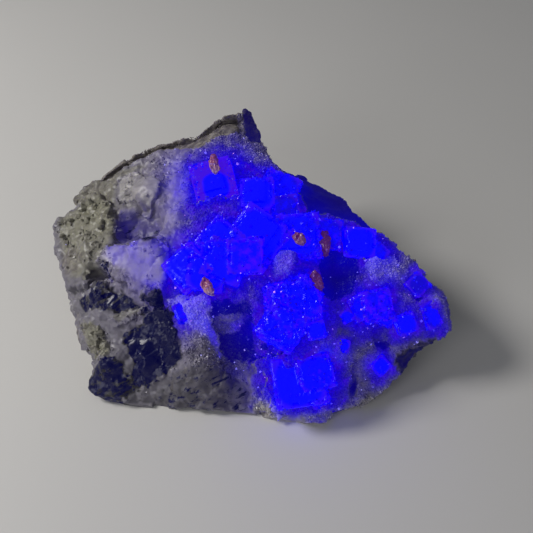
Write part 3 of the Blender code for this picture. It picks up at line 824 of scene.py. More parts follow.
        # The blue light inside it
        shine = bench.ramp(glow, self.glow_stops)
        purple = bench.eased(bench.noise(place, 5.5, 3.0, 0.55), 0.5, 0.62)
        purple = bench.times(purple, bench.eased(glow, 0.3, 0.7))
        shine = bench.mixed(purple, shine, self.purple)
        lift = bench.mixed(bench.times(milky, bench.eased(blue, 0.1, 0.5)), BLACK, self.milk_glow)
        shine = bench.mixed(1.0, shine, lift, "ADD")
        shine = bench.mixed(1.0, shine, brightness, "MULTIPLY")
        shine = bench.mixed(bench.times(bare, 0.85), shine, BLACK)
        shine = bench.mixed(glassy, shine, self.glass_glow)
        depths = bench.mixed(bench.times(blue, 1.3), self.unlit_shade_glow, self.lit_shade_glow)
        shine = bench.mixed(bench.times(in_painted_shade, 0.9), shine, depths)
        if self.by_crystal:
            # Painted glints: about one crystal in a hundred is painted bright, with a glow, as if it caught the
            # light, a few of them warm
            glint = bench.eased(shade, 0.988, 0.992)
            tint = bench.mixed(bench.eased(blue, 0.2, 0.6), self.white_glint, self.blue_glint)
            warm = bench.times(bench.eased(shade, 0.9955, 0.9965), bench.eased(blue, 0.3, 0.6))
            tint = bench.mixed(warm, tint, self.warm_glint)
            colour = bench.mixed(glint, colour, tint)
            shine = bench.mixed(bench.times(glint, 0.6), shine, self.glint_glow)

        # The surface
        matt = bench.line(fine, 0.3, self.roughness - 0.12)
        matt = bench.line(bare, 0.25, matt)
        unlit = bench.value("SUBTRACT", 1.0, bench.eased(blue, 0.1, 0.6))
        bench.feed(shader, {
            "Base Color": colour,
            "Emission Color": shine,
            "Emission Strength": 1.0,
            "Roughness": bench.line(glassy, -0.2, matt),
            "IOR": QUARTZ_IOR,
            "Specular IOR Level": 0.1,
            "Coat Weight": bench.times(unlit, self.coat),
            "Coat Roughness": 0.25,
            "Subsurface Weight": self.translucency,
            "Subsurface Radius": self.scatter,
            "Subsurface Scale": self.scatter_scale,
        })
        if self.relief:
            grains = bench.noise(place, 0.5, 3.0, 0.62)
            bench.feed(shader, {"Normal": bench.bump(grains, self.relief, 0.0004)})
        return made


@dataclass(frozen=True)
class FluoriteFinish:
    """Fluorite that glows saturated blue, clouded and violet towards its edges."""

    name: str = "fluorite"
    core: Colour = (0.0, 0.0, 1.0)
    dim: Colour = (0.004, 0.0, 0.40)
    edge: Colour = (0.045, 0.003, 0.55)
    magenta: Colour = (0.05, 0.0, 0.95)
    body: Colour = (0.006, 0.004, 0.3)
    transmission: float = 0.4
    roughness: float = 0.2
    absorbed: Colour = (0.05, 0.03, 0.85)
    absorption: float = 900.0

    def material(self) -> Material:
        """Builds the material.

        Returns:
            The material.
        """
        made, bench, shader = new_material(self.name)
        place = bench.millimetres()
        zone = bench.attribute("zone")
        tone = bench.attribute("tone")
        violet = bench.attribute("violet")
        border = bench.attribute("border")
        cloud = bench.noise(place, 2.6, 4.0, 0.62)
        specks = bench.noise(place, 0.55, 3.0, 0.6)

        fade = bench.line(bench.eased(zone, 0.6, 1.3), -0.25, tone)
        depth = bench.plus(fade, bench.line(cloud, 1.0, -0.5))
        glow = bench.mixed(bench.eased(depth, 0.4, 0.95), self.dim, self.core)
        reddish = bench.plus(violet, bench.line(cloud, 2.0, -1.0))
        glow = bench.mixed(bench.eased(reddish, 0.42, 1.0), glow, self.magenta)
        rim = bench.plus(zone, bench.line(cloud, 0.3, -0.15))
        glow = bench.mixed(bench.times(bench.eased(rim, 0.84, 1.12), border), glow, self.edge)
        grainy = bench.line(specks, bench.line(tone, -0.9, 1.0), 0.75)
        grainy = bench.value("MINIMUM", bench.plus(grainy, bench.times(tone, 0.25)), 1.2)
        bench.feed(shader, {
            "Emission Color": bench.mixed(1.0, glow, bench.grey(grainy), "MULTIPLY"),
            "Emission Strength": 1.0,
            "Base Color": with_alpha(self.body),
            "Roughness": bench.line(specks, 0.2, self.roughness - 0.08),
            "IOR": FLUORITE_IOR,
            "Specular IOR Level": 0.1,
            "Transmission Weight": self.transmission,
        })
        volume = {"Color": with_alpha(self.absorbed), "Density": self.absorption}
        absorbing = bench.node("ShaderNodeVolumeAbsorption", volume).outputs[0]
        bench.feed(bench.tree.nodes["Material Output"], {"Volume": absorbing})
        return made


@dataclass(frozen=True)
class GrainFinish:
    """Iron-stained quartz, red-brown at one end and pale at the other."""

    name: str = "stained_grain"
    stops: tuple[tuple[float, Colour], ...] = (
        (0.0, (0.24, 0.18, 0.34)),
        (0.35, (0.36, 0.20, 0.15)),
        (0.7, (0.28, 0.085, 0.045)),
        (1.0, (0.15, 0.035, 0.03)),
    )
    maroon: Colour = (0.075, 0.012, 0.035)
    # The colour of specks painted in the fluorite's blue light
    blue_lit_specks: Colour = (0.16, 0.10, 0.50)
    glow: Colour = (0.03, 0.0, 0.10)

    def material(self) -> Material:
        """Builds the material.

        Returns:
            The material.
        """
        made, bench, shader = new_material(self.name)
        place = bench.millimetres()
        cloud = bench.noise(place, 1.1, 4.0, 0.7)
        along = bench.plus(bench.attribute("along"), bench.line(cloud, 0.5, -0.25))
        colour = bench.mixed(bench.attribute("tone"), bench.ramp(along, self.stops), self.maroon)
        # Specks painted in the fluorite's blue light
        blue_lit_specks = bench.eased(bench.noise(place, 0.7, 3.0, 0.6), 0.56, 0.66)
        colour = bench.mixed(bench.times(blue_lit_specks, 0.7), colour, self.blue_lit_specks)
        bench.feed(shader, {
            "Base Color": colour,
            "Roughness": bench.line(cloud, 0.4, 0.15),
            "Emission Color": with_alpha(self.glow),
            "Emission Strength": 1.0,
            "IOR": QUARTZ_IOR,
            "Normal": bench.bump(bench.noise(place, 0.5), 0.3, 0.0002),
        })
        return made


@dataclass(frozen=True)
class FloorFinish:
    """A plain pale matt floor."""

    colour: Colour = (0.62, 0.61, 0.59)

    def material(self) -> Material:
        """Builds the material.

        Returns:
            The material.
        """
        made, bench, shader = new_material("floor")
        cloud = bench.noise(bench.millimetres(), 120.0, 2.0)
        tint = bench.mixed(cloud, self.colour, tuple(0.94 * part for part in self.colour))
        bench.feed(shader, {"Base Color": tint, "Roughness": 0.7})
        return made


# ---- fluorite


# The growth step on a cube's main face: its width and its shift, in shares of the cube's size
STEP_SHARE = 0.66
STEP_SHIFT = 0.1
STEP_ROUNDING = 0.12
POCKET_GAP = 0.3
# A core's outline lies between a circle, at 2, and a square
CORE_POWER = 2.8
CUBE_VALUES = ("zone", "tone", "violet", "border", "frost", "chip", "step")
FACES_KEPT = 0.5


class Habit(Enum):
    """How a fluorite crystal has grown, by how much its edges are rounded."""

    CLEAR = 0.3
    FROSTED = 1.2


@dataclass(frozen=True)
class Cube:
    """One fluorite cube, by its place in plan, its size, how it is turned and how it glows.

    `core_x` and `core_y` shift the brighter core of its main face, in shares of half its size, and `core` is how
    far that core reaches. `frost` is the share of it that small quartz covers.
    """

    x: float
    y: float
    size: float
    twist: float
    proud: float
    tilt: float = 38.0
    lean: float = 0.0
    step: float = 0.0
    stretch: float = 1.0
    tone: float = 0.9
    violet: float = 0.1
    frost: float = 0.15
    core_x: float = 0.0
    core_y: float = 0.0
    core: float = 1.0
    border: float = 0.5
    terraces: float = 0.35

    def pose(self) -> Matrix:
        """Where the cube's main face has its middle, with Z along that face's normal.

        Returns:
            The pose.
        """
        turned = (
            Matrix.Rotation(math.radians(self.tilt), 4, "X")
            @ Matrix.Rotation(math.radians(self.lean), 4, "Y")
            @ Matrix.Rotation(math.radians(self.twist), 4, "Z")
        )
        return Matrix.Translation(GROUND.point(self.x, self.y) + OUTWARDS * self.proud) @ turned

    def blocks(self, grow: float, rounding: float) -> list[Mesh]:
        """The cube and the raised growth steps on its main face.

        Args:
            grow: how much larger it is all round.
            rounding: how much its edges are cut off.

        Returns:
            A closed mesh for each block.
        """
        side = self.size + 2 * grow
        sides = (side, self.size * self.stretch + 2 * grow, side)
        pose = self.pose()
        made = [block(pose @ Matrix.Translation((0, 0, grow)), sides, rounding)]
        if self.step:
            inner = self.size * STEP_SHARE + 2 * grow
            shift = self.size * STEP_SHIFT
            moved = Matrix.Translation((-shift, shift, self.step + grow))
            made.append(block(pose @ moved, (inner, inner, self.size * 0.5), STEP_ROUNDING))
        return made

    def local(self, points: Array) -> Array:
        """Points in shares of the cube's half size about its middle.

        Args:
            points: points in the rock's plan.

        Returns:
            The same points along the cube's own axes.
        """
        to_cube = np.array(self.pose().inverted())
        inside = points @ to_cube[:3, :3].T + to_cube[:3, 3]
        half = self.size / 2
        inside[:, 2] += half
        inside[:, 1] /= self.stretch
        return inside / half

    def distance(self, points: Array) -> Array:
        """How far each point is outside the cube; inside it is negative.

        Args:
            points: points in the rock's plan.

        Returns:
            A distance for each point.
        """
        beyond = (np.abs(self.local(points)) - 1.0) * self.size / 2
        outside = np.linalg.norm(np.maximum(beyond, 0.0), axis=1)
        return outside + np.minimum(beyond.max(axis=1), 0.0)


def block(pose: Matrix, sides: Sequence[float], rounding: float) -> Mesh:
    """A block with its edges cut off; its top face's middle is at the pose.

    Args:
        pose: where it is and how it is turned.
        sides: its width, length and height.
        rounding: how much is cut off.

    Returns:
        A closed mesh.
    """
    shape = bmesh.new()
    bmesh.ops.create_cube(shape, size=1.0)
    bmesh.ops.scale(shape, vec=sides, verts=shape.verts[:])
    bmesh.ops.bevel(shape, geom=shape.edges[:], offset=rounding, segments=2, profile=0.5, affect="EDGES")
    bmesh.ops.translate(shape, vec=(0, 0, -sides[2] / 2), verts=shape.verts[:])
    bmesh.ops.transform(shape, matrix=pose, verts=shape.verts[:])
    return shaped(shape, "block")


PHANTOM = Cube(-8.9, 10.2, 10.8, 14, 3.0, tilt=36, lean=-4, step=0.7, tone=1.0, core_x=0.08, core_y=-0.34,
               core=0.66, frost=0.1, border=1.0)
LEFT_CORNER = Cube(-15.0, -14.0, 9.5, 40, 3.2, lean=-10, step=0.5, tone=1.0, frost=0.05, border=0.8,
                   terraces=0.6)
RIGHT_COATED = Cube(20.9, -4.2, 7.2, -5, 2.8, tilt=36, lean=4, tone=0.7, violet=0.4, frost=0.5)
MIDDLE_COATED = Cube(13.0, -6.4, 11.5, 5, 3.0, tilt=38, step=0.5, tone=0.85, violet=0.3, frost=0.45)
FROSTED_TOP = Cube(14.2, -20.6, 8.0, 44, 2.8, tilt=42, lean=6, tone=0.9, violet=0.5, frost=0.4)


@dataclass(frozen=True)
class Cluster:
    """Fluorite cubes that have grown into each other: one node of the model."""

    node: str
    cubes: tuple[Cube, ...]
    habit: Habit = Habit.CLEAR
    voxel: float = 0.3
    visual_grow: float = 0.25

    def pocket(self) -> list[Mesh]:
        """The blocks that are cut from the rock for the cluster."""
        return [mesh for cube in self.cubes for mesh in cube.blocks(POCKET_GAP, self.habit.value)]

    def mesh(self) -> Mesh:
        """The cluster's mesh with its growth terraces, chipped edges and values.

        Returns:
            The mesh, in millimetres in the rock's plan.
        """
        blocks = [mesh for cube in self.cubes for mesh in cube.blocks(self.visual_grow, self.habit.value)]
        mesh = reskinned(joined(blocks, self.node), self.voxel)
        points = points_of(mesh)
        values = self.values(points)
        push = 0.12 - values.pop("chip") - values.pop("step") + 0.05 * facets(points, 0.9)
        if self.habit is Habit.FROSTED:
            push += 0.42 * facets(points, 2.6) + 0.2 * facets(points, 1.2) + 0.1 * domes(points, 1.3)
        move_points(mesh, points + normals_of(mesh) * push[:, None])
        thing = new_object("crystal", mesh)
        thin_out(thing, FACES_KEPT)
        mesh = settled(thing)
        for name, row in self.values(points_of(mesh)).items():
            give_values(mesh, name, row)
        return mesh

    def values(self, points: Array) -> dict[str, Array]:
        """What the finish and the relief read at each point of the cluster.

        Args:
            points: the cluster's vertices.

        Returns:
            A row of values for each name.
        """
        owner = np.array([np.abs(cube.distance(points)) for cube in self.cubes]).argmin(axis=0)
        made = {name: np.zeros(len(points)) for name in CUBE_VALUES}
        for index, cube in enumerate(self.cubes):
            mine = owner == index
            local = cube.local(points[mine])
            size = np.abs(local)
            face = size.argmax(axis=1)
            shifted = local - np.where(face[:, None] == 2, (cube.core_x, cube.core_y, 0.0), 0.0)
            across = np.where(np.arange(3) == face[:, None], 0.0, np.abs(shifted))
            steps = np.floor(across.max(axis=1) * cube.size * 0.3 + 0.8 * roughness(points[mine], 3.0))
            edge = np.sort(size, axis=1)[:, 1]
            ragged = roughness(points[mine] + 40.0, 1.7)
            patchy = smooth_step((roughness(points[mine], 1.9) + 0.1) / 0.3)
            made["chip"][mine] = 0.75 * smooth_step((edge - 0.78) / 0.12) * smooth_step((ragged - 0.02) / 0.25)
            made["step"][mine] = 0.1 * steps * cube.terraces
            made["zone"][mine] = (across ** CORE_POWER).sum(axis=1) ** (1 / CORE_POWER) / cube.core
            made["tone"][mine] = cube.tone
            made["violet"][mine] = cube.violet
            made["border"][mine] = cube.border
            on_edge = 0.25 * smooth_step((edge - 0.76) / 0.15)
            made["frost"][mine] = patchy * np.clip(1.6 * cube.frost + on_edge, 0.0, 1.0)
        return made


SINGLE_CUBES = {
    "fluorite_rim_cube": Cube(45.0, -13.8, 4.6, 42, 1.6, lean=6, tone=0.3, violet=0.3, frost=0.1),
    "fluorite_round_cube": Cube(41.4, -22.3, 4.8, 22, 1.7, tilt=44, tone=0.85, frost=0.05),
    "fluorite_tip_blade": Cube(48.2, -20.4, 3.6, 24, 1.3, tilt=40, lean=8, stretch=1.8, tone=0.75, violet=0.3,
                               frost=0.1),
    "fluorite_low_wedge": Cube(35.6, -28.2, 3.8, 42, 1.4, tilt=46, frost=0.05),
    "fluorite_speck_middle": Cube(17.5, -28.4, 4.0, 12, 1.3, tilt=44, frost=0.1),
    "fluorite_speck_upper": Cube(25.7, -22.8, 2.6, 30, 0.9, tilt=42, tone=0.8, frost=0.1),
    "fluorite_speck_lower": Cube(25.0, -28.4, 2.4, -14, 0.9, tilt=44, tone=0.8, frost=0.1),
    "fluorite_left_speck": Cube(-15.6, -22.2, 4.4, 26, 2.6, tilt=36, tone=0.7, violet=0.4, frost=0.3),
}
CLUSTERS = (
    Cluster("fluorite_phantom_cube", (PHANTOM,)),
    Cluster("fluorite_main_cluster", (
        Cube(2.9, 5.2, 8.4, 2, 3.0, tilt=36, lean=-5, step=0.5, tone=1.0, frost=0.1),
        Cube(9.0, 8.0, 9.0, -22, 2.8, tilt=34, lean=8, tone=0.75, frost=0.35),
        Cube(9.8, 1.2, 7.5, 8, 2.2, tilt=42, tone=0.6, frost=0.1),
        Cube(2.6, -7.2, 13.0, -35, 3.4, step=0.6, tone=1.0, frost=0.08),
        Cube(-6.8, -8.2, 9.0, -42, 2.8, lean=-6, tone=0.95, frost=0.15),
        Cube(-5.2, -13.6, 10.0, -20, 2.8, tone=0.95, frost=0.1),
        Cube(-0.3, -12.4, 8.5, 0, 3.6, tilt=42, tone=1.0, violet=0.6, frost=0.05),
        LEFT_CORNER,
        Cube(-10.0, -16.0, 8.5, -8, 2.6, tone=1.0, frost=0.05),
        Cube(-8.6, -10.8, 4.6, 10, 3.4, tone=0.9, frost=0.1),
        MIDDLE_COATED,
        Cube(7.7, -6.2, 8.0, 32, 2.8, tone=0.9, violet=0.3, frost=0.3),
        RIGHT_COATED,
    )),
    Cluster("fluorite_crack_cubes", (
        Cube(29.7, -5.0, 7.8, -5, 2.6, tilt=36, lean=4, step=0.4, tone=1.0, frost=0.03),
        Cube(33.4, -7.0, 6.2, -40, 1.9, lean=8, tone=0.75, frost=0.03),
    )),
    Cluster("fluorite_frosted_mass", (
        Cube(12.2, -22.4, 11.0, 20, 3.4, tilt=42, tone=1.0, violet=0.35, frost=0.25),
        Cube(9.2, -27.2, 10.0, -30, 3.0, tilt=46, tone=0.95, violet=0.45, frost=0.25),
        Cube(8.8, -21.6, 7.6, 10, 2.4, tilt=42, tone=0.8, violet=0.8, frost=0.4),
        FROSTED_TOP,
    ), Habit.FROSTED),
    Cluster("fluorite_front_cubes", (
        Cube(13.4, -35.0, 12.4, 8, 2.8, tilt=44, tone=1.0, frost=0.03, terraces=0.2),
        Cube(17.6, -34.2, 8.6, 14, 2.2, tilt=44, lean=6, tone=0.9, violet=0.3, frost=0.15),
        Cube(18.6, -36.6, 4.6, 30, 2.2, tilt=48, tone=0.8, violet=0.3, frost=0.2),
    )),
    Cluster("fluorite_shelf_cubes", (
        Cube(33.7, -19.2, 7.6, 10, 2.4, tilt=42, lean=4, step=0.4, tone=0.8, violet=0.55, frost=0.3),
        Cube(30.2, -19.8, 6.0, 24, 1.8, tilt=42, tone=0.85, violet=0.35, frost=0.3),
        Cube(36.2, -21.0, 3.6, -18, 1.8, tilt=44, tone=0.8, violet=0.3, frost=0.2),
    )),
    *(Cluster(node, (cube,), voxel=0.2) for node, cube in SINGLE_CUBES.items()),
)
ALL_CUBES = tuple(cube for cluster in CLUSTERS for cube in cluster.cubes)


@dataclass(frozen=True)
class Grain:
    """A stained grain half sunk in a cube's face, `across` and `along` that face from its middle."""

    node: str
    cube: Cube
    across: float
    along: float
    width: float
    length: float
    turn: float
    dark: float = 0.0
    grow: float = 0.15

    def mesh(self) -> Mesh:
        """The grain's mesh, with its crystal facets.

        Returns:
            The mesh, in millimetres in the rock's plan.
        """
        shape = bmesh.new()
        bmesh.ops.create_icosphere(shape, subdivisions=4, radius=1.0)
        own = Vector((self.width, self.length, 0))
        for vertex in shape.verts:
            vertex.co *= 1.0 + 0.22 * noise.noise(vertex.co * 1.4 + own)
        half = Vector((self.width / 2 + self.grow, self.length / 2 + self.grow, self.width * 0.42 + self.grow))
        bmesh.ops.scale(shape, vec=half, verts=shape.verts[:])
        mesh = shaped(shape, self.node)
        points = points_of(mesh)
        give_values(mesh, "along", 0.5 + 0.5 * points[:, 1] / half.y)
        give_values(mesh, "tone", np.full(len(points), self.dark))
        push = 0.34 * facets(points + 9.0 * self.width, 1.3) + 0.14 * facets(points, 0.6)
        move_points(mesh, points + normals_of(mesh) * push[:, None])
        turned = Matrix.Rotation(math.radians(self.turn - self.cube.twist), 4, "Z")
        face_turn = Matrix.Rotation(math.radians(-self.cube.twist), 4, "Z")
        rise = self.cube.step + self.width * 0.08
        place = face_turn @ Vector((self.across, self.along, 0)) + Vector((0, 0, rise))
        mesh.transform(self.cube.pose() @ Matrix.Translation(place) @ turned)
        return mesh


GRAINS = (
    Grain("stained_grain_on_cube", PHANTOM, 0.4, 4.0, 2.3, 5.6, 8, dark=0.15),
    Grain("stained_grain_left", LEFT_CORNER, 5.6, -5.0, 2.4, 4.6, 28),
    Grain("stained_grain_upper", MIDDLE_COATED, 0.6, -0.6, 2.6, 3.8, 40, dark=0.5),
    Grain("stained_grain_right", RIGHT_COATED, -0.9, -2.6, 3.4, 6.4, 6, dark=0.85),
    Grain("stained_grain_middle", FROSTED_TOP, 3.6, 4.0, 2.4, 5.0, 20, dark=0.9),
)


# ---- the rock


# For each look, its outlines with the amount inside them and the width of their edge; a later one covers the earlier
TINTS = {
    Mask.BLUE: (
        (BASE_BAND, 0.12, 2.5), (TIP, 0.3, 3.0), (LOWER_PLATE.outline, 0.64, 2.0), (HOLLOW, 0.3, 2.0),
        (RIGHT_SIDE, 0.12, 2.0), (BACK_STRIP, 0.25, 3.0), (PLATE.outline, 0.38, 2.0), (TOP_BLUE, 0.85, 1.5),
    ),
    Mask.CREAM: (
        (LEFT_RIM.outline, 0.8, 2.0), (UPPER_LEFT, 0.75, 2.0), (UPPER_LUMP, 0.5, 0.7), (CREAM_BLOBS, 0.9, 0.7),
        (CREAM_EDGE, 0.7, 0.7), (BASE_BAND, 1.0, 1.6), (TIP, 0.35, 2.0),
    ),
    Mask.PALE: (
        (PLATE.outline, 0.6, 0.7), (UPPER_PLATE.outline, 0.32, 0.7), (STRIP, 0.5, 2.5),
        (LOWER_PLATE.outline, 0.9, 0.7), (UPPER_LUMP, 0.8, 0.7), (WHITE_SHELF, 0.9, 1.5), (PALE_LUMP, 0.6, 1.5),
        (TOP_LAVENDER, 0.5, 1.5), (BASE_BAND, 0.9, 1.6), (BAND, 0.3, 2.0), (LOW_RIGHT, 0.35, 2.0), (TIP, 0.35, 2.0),
    ),
    # Painted shade: the hollows, the crack and the shaded back and right flank
    Mask.PAINTED_SHADE: (
        (BALL_HOLLOW, 0.75, 1.5), (LOWER_PLATE.outline, 0.0, 0.7), (VALLEY, 1.0, 1.5), (CRACK, 1.0, 0.5),
        (BACK_RIGHT, 0.8, 1.5), (RIGHT_SIDE, 0.55, 2.0), (KNOB, 0.65, 0.7),
    ),
    # Dark glass in the corner, and painted shade in the hollow, the gash, the hole and on the right flank
    Mask.DARK: (
        (HOLLOW, 0.26, 2.0), (RIGHT_SIDE, 0.56, 2.0), (CORNER_GREY, 0.68, 1.5), (CORNER_BLACK, 1.0, 1.5),
        (CORNER_HOLE, 1.2, 0.5), (CORNER_LOW, 0.66, 0.7), (BAND, 0.32, 2.0), (CREAM_BLOBS, 0.1, 0.7),
        (CREAM_EDGE, 0.15, 0.7), (GLASS_LUMP, 0.4, 0.7), (GASH, 1.0, 0.6), (LOWER_PLATE.outline, 0.0, 0.7),
    ),
    Mask.WEATHERED: (
        (UPPER_LEFT, 0.42, 2.0), (LEDGE, 0.9, 0.7), (KNOB, 1.0, 0.7), (BACK_RIGHT, 0.9, 1.2), (RIM_BROWN, 0.5, 2.0),
        (RIGHT_SIDE, 0.6, 2.0),
    ),
}
# Ovals that add to a look
OVALS = {
    Mask.CREAM: (Oval(-38, 8, 16, 16, 0.25, soft=0.9),),
    # Painted shade in the hollow, and a dark spot by the glassy corner
    Mask.DARK: (Oval(-25.5, -7.5, 2.4, 2.0, 0.9, soft=0.8), Oval(-24, -31, 4.5, 1.2, 0.5, turn=10, soft=0.8)),
    # Painted shade in the hollows that the forms sink
    Mask.PAINTED_SHADE: (
        Oval(36, -24, 4.2, 2.3, 0.9, soft=0.9), Oval(28.5, -32, 1.9, 3.4, 0.8, soft=0.9),
        Oval(45, -17, 2.6, 2.0, 0.8, soft=0.9), Oval(25, -3, 1.0, 4, 0.9, turn=8, soft=0.7),
    ),
}
# How far the skin rises inside each outline
RISES = (
    (UPPER_LUMP, 1.1), (CREAM_EDGE, 0.8), (CREAM_BLOBS, 0.8), (GLASS_LUMP, 0.9), (PLATE.outline, 0.5),
    (UPPER_PLATE.outline, 0.6), (LOWER_PLATE.outline, 0.7), (WHITE_SHELF, 0.5), (PALE_LUMP, 0.4), (GASH, -1.2),
    (CORNER_HOLE, -1.2), (CRACK, -1.0),
)


@dataclass
class Rock:
    """The quartz rock, from its smooth block to its finely broken skin.

    `wall_breaks` and `top_breaks` are the width and the depth of its large breaks, `ledge` spans compass angles, and
    the druse is split into pieces at `druse_split`.
    """

    middle: tuple[float, float] = (2.0, -1.0)
    squares: int = 160
    voxel: float = 0.31
    most_triangles: int = 200000
    undercut: float = 0.22
    tip_undercut: float = 0.4
    tip_direction: float = math.radians(-18)
    wall_breaks: tuple[float, float] = (11.0, 2.6)
    top_breaks: tuple[float, float] = (7.0, 0.7)
    ledge: tuple[float, float] = (math.radians(95), math.radians(152))
    ledge_width: float = 5.0
    ledge_drop: float = 2.2
    blue_reach: float = 7.0
    ball: tuple[float, float] = (-4.3, -25.7)
    ball_depth: float = 1.0
    ball_radius: float = 4.6

    block_widths: tuple[float, ...] = (3.4, 1.7, 1.0)
    plate_width: float = 4.0
    knob_width: float = 2.6
    glass_width: float = 2.2
    broken_width: float = 5.0
    left_weathering: float = 14
    druse_from: float = 2.5
    druse_side: tuple[float, float, float] = (0.0, -0.5, 0.87)
    druse_split: tuple[float, float] = (16.0, -8.0)

    def outline(self, angle: Array) -> tuple[Array, Array]:
        """The radius and the height of the rock's edge at each compass angle.

        Args:
            angle: the angles, in radians from +X.

        Returns:
            The radii and the heights.
        """
        around = np.array(RIM, float)
        offset = around[:, :2] - self.middle
        angles = np.arctan2(offset[:, 1], offset[:, 0])
        order = np.argsort(angles)
        radius = np.interp(angle, angles[order], np.hypot(*offset.T)[order], period=2 * math.pi)
        height = np.interp(angle, angles[order], around[order, 2], period=2 * math.pi)
        return radius, height

    def smooth_block(self) -> Mesh:
        """The rock with its forms and its large breaks, as a closed mesh of squares.

        Returns:
            The mesh.
        """
        grid = bmesh.new()
        bmesh.ops.create_cube(grid, size=2.0)
        bmesh.ops.subdivide_edges(grid, edges=grid.edges[:], cuts=self.squares - 1, use_grid_fill=True)
        mesh = shaped(grid, "rock")
        cube = points_of(mesh)
        flat = np.abs(cube[:, :2]).max(axis=1)
        angle = np.arctan2(cube[:, 1], cube[:, 0])
        radius, edge_height = self.outline(angle)
        level = (cube[:, 2] + 1.0) / 2.0
        towards_tip = np.clip(np.cos(angle - self.tip_direction), 0.0, 1.0) ** 6
        undercut = (self.undercut + self.tip_undercut * towards_tip) * edge_height
        radius = radius - undercut * (1.0 - level) ** 1.2
        compass = np.stack([np.cos(angle), np.sin(angle)], axis=1)
        places = compass * (radius * flat)[:, None] + self.middle
        rim_places = compass * radius[:, None] + self.middle
        # The top follows the ground; the sides run straight from its edge to the break, with an undercut
        z = np.where(level > 1.0 - 1e-6, GROUND.height(places), GROUND.height(rim_places) * level)
        points = np.column_stack([places, z])
        move_points(mesh, points)
        on_top = smooth_step((level - 0.9) / 0.1)
        on_side = smooth_step(level / 0.1) * (1.0 - on_top)
        width, depth = self.wall_breaks
        push = on_top * self.forms(points, flat, angle, radius) + on_side * depth * facets(points, width)
        moved = points + normals_of(mesh) * push[:, None]
        moved[:, 2] = np.where(level > 1e-6, np.maximum(moved[:, 2], 0.15 * level), 0.0)
        move_points(mesh, moved)
        return mesh

    def forms(self, points: Array, flat: Array, angle: Array, radius: Array) -> Array:
        """The height that hollows, lumps, sheets, the back ledge and breaks add at each point.

        Args:
            points: the block's vertices.
            flat: how far out each point is, from 0 to 1 at the edge.
            angle: each point's compass angle.
            radius: the radius of the edge at that angle.

        Returns:
            A height for each point.
        """
        rough = roughness(points, 1.6) + 0.4 * roughness(points, 0.8)
        total = sum(form.over(points) for form in FORMS)
        total = total + sum(sheet.over(points, rough) for sheet in SHEETS)
        in_ledge = (angle > self.ledge[0]) & (angle < self.ledge[1])
        from_edge = (1.0 - flat) * radius + 1.5 * roughness(points, 4.0)
        total = total - np.where(in_ledge, self.ledge_drop * smooth_step((self.ledge_width - from_edge) / 1.2), 0.0)
        width, depth = self.top_breaks
        return total + depth * facets(points, width)

    def broken(self, mesh: Mesh) -> Mesh:
        """Breaks the skin into crystal faces, knobs and toothed edges, and flattens the underside.

        Args:
            mesh: the even skin of the rock.

        Returns:
            The same mesh, broken.
        """
        points = points_of(mesh)
        normals = normals_of(mesh)
        teeth = teeth_at(points)

        def over(outline: Outline, edge: float) -> Array:
            """How much of each point an outline covers."""
            return share_inside(outline, points, teeth, edge)

        sheets = np.max([over(sheet.outline, 1.5) for sheet in SHEETS[:3]], axis=0)
        rim = over(LEFT_RIM.outline, 3.0)
        bare = np.maximum(np.maximum(over(LEDGE, 1.0), over(KNOB, 1.0)), over(BACK_RIGHT, 1.5))
        bare = np.maximum(bare, smooth_step((0.15 - normals[:, 2] + 0.5 * normals[:, 1]) / 0.4))
        glass = np.maximum(over(CORNER_BLACK, 1.5), over(CORNER_LOW, 1.0))
        glass = np.maximum(glass, over(CORNER_GREY, 1.5))
        knobs = np.maximum(rim, np.maximum(over(BALL, 0.8), 0.6 * over(PALE_LUMP, 1.0)))
        rest = np.clip(1.0 - bare - glass - sheets - 0.6 * knobs, 0.0, 1.0)

        # Blocky crystals of a width and a depth for each kind of skin, long and slanting in the dark glass
        tilted = points @ np.array(Matrix.Rotation(-STREAK_TURN, 3, "Z")).T * (0.35, 1.0, 0.7)
        wide, narrow, fine = self.block_widths
        large = crystals(points, wide, SEED + 7)
        small = crystals(points, narrow, SEED + 1)
        push = rest * (0.6 * large + 0.36 * small + 0.1 * crystals(points, fine, SEED + 2))
        push += sheets * 0.12 * crystals(points, self.plate_width, SEED + 3)
        push += knobs * (0.5 * crystals(points, self.knob_width, SEED + 4) + 0.2 * small)
        push += glass * (0.75 * crystals(tilted, self.glass_width, SEED + 5) + 0.2 * small)
        push += bare * (0.45 * crystals(points, self.broken_width, SEED + 6) + 0.15 * small)
        push += 0.1 * roughness(points, 1.8) + 0.02 * roughness(points, 0.6)
        for outline, rise in RISES:
            push += rise * over(outline, 0.5)
        # Nothing stands out near the flat break, and nothing reaches below it
        push *= smooth_step((points[:, 2] - 0.6) / 2.0)
        moved = points + normals * push[:, None]
        moved[:, 2] = np.maximum(moved[:, 2], BREAK_HEIGHT)
        move_points(mesh, moved)
        return mesh

    def mesh(self) -> Mesh:
        """The finished rock with a pocket for each crystal and the values that its finishes read.

        Returns:
            The mesh, in millimetres in the rock's plan.
        """
        mesh = self.broken(reskinned(self.smooth_block(), self.voxel))
        rock = new_object("rock", mesh)
        thin_out(rock, self.most_triangles / (2 * len(mesh.polygons)))
        cutters = []
        for cluster in CLUSTERS:
            for pocket in cluster.pocket():
                cutter = new_object("pocket", pocket)
                cut = rock.modifiers.new("pocket", "BOOLEAN")
                cut.operation = "DIFFERENCE"
                cut.solver = "MANIFOLD"
                cut.object = cutter
                cutters.append(cutter)
        mesh = settled(rock)
        for cutter in cutters:
            bpy.data.objects.remove(cutter)
        for mask, values in self.values(points_of(mesh), normals_of(mesh)).items():
            give_values(mesh, mask.value, values)
        return mesh

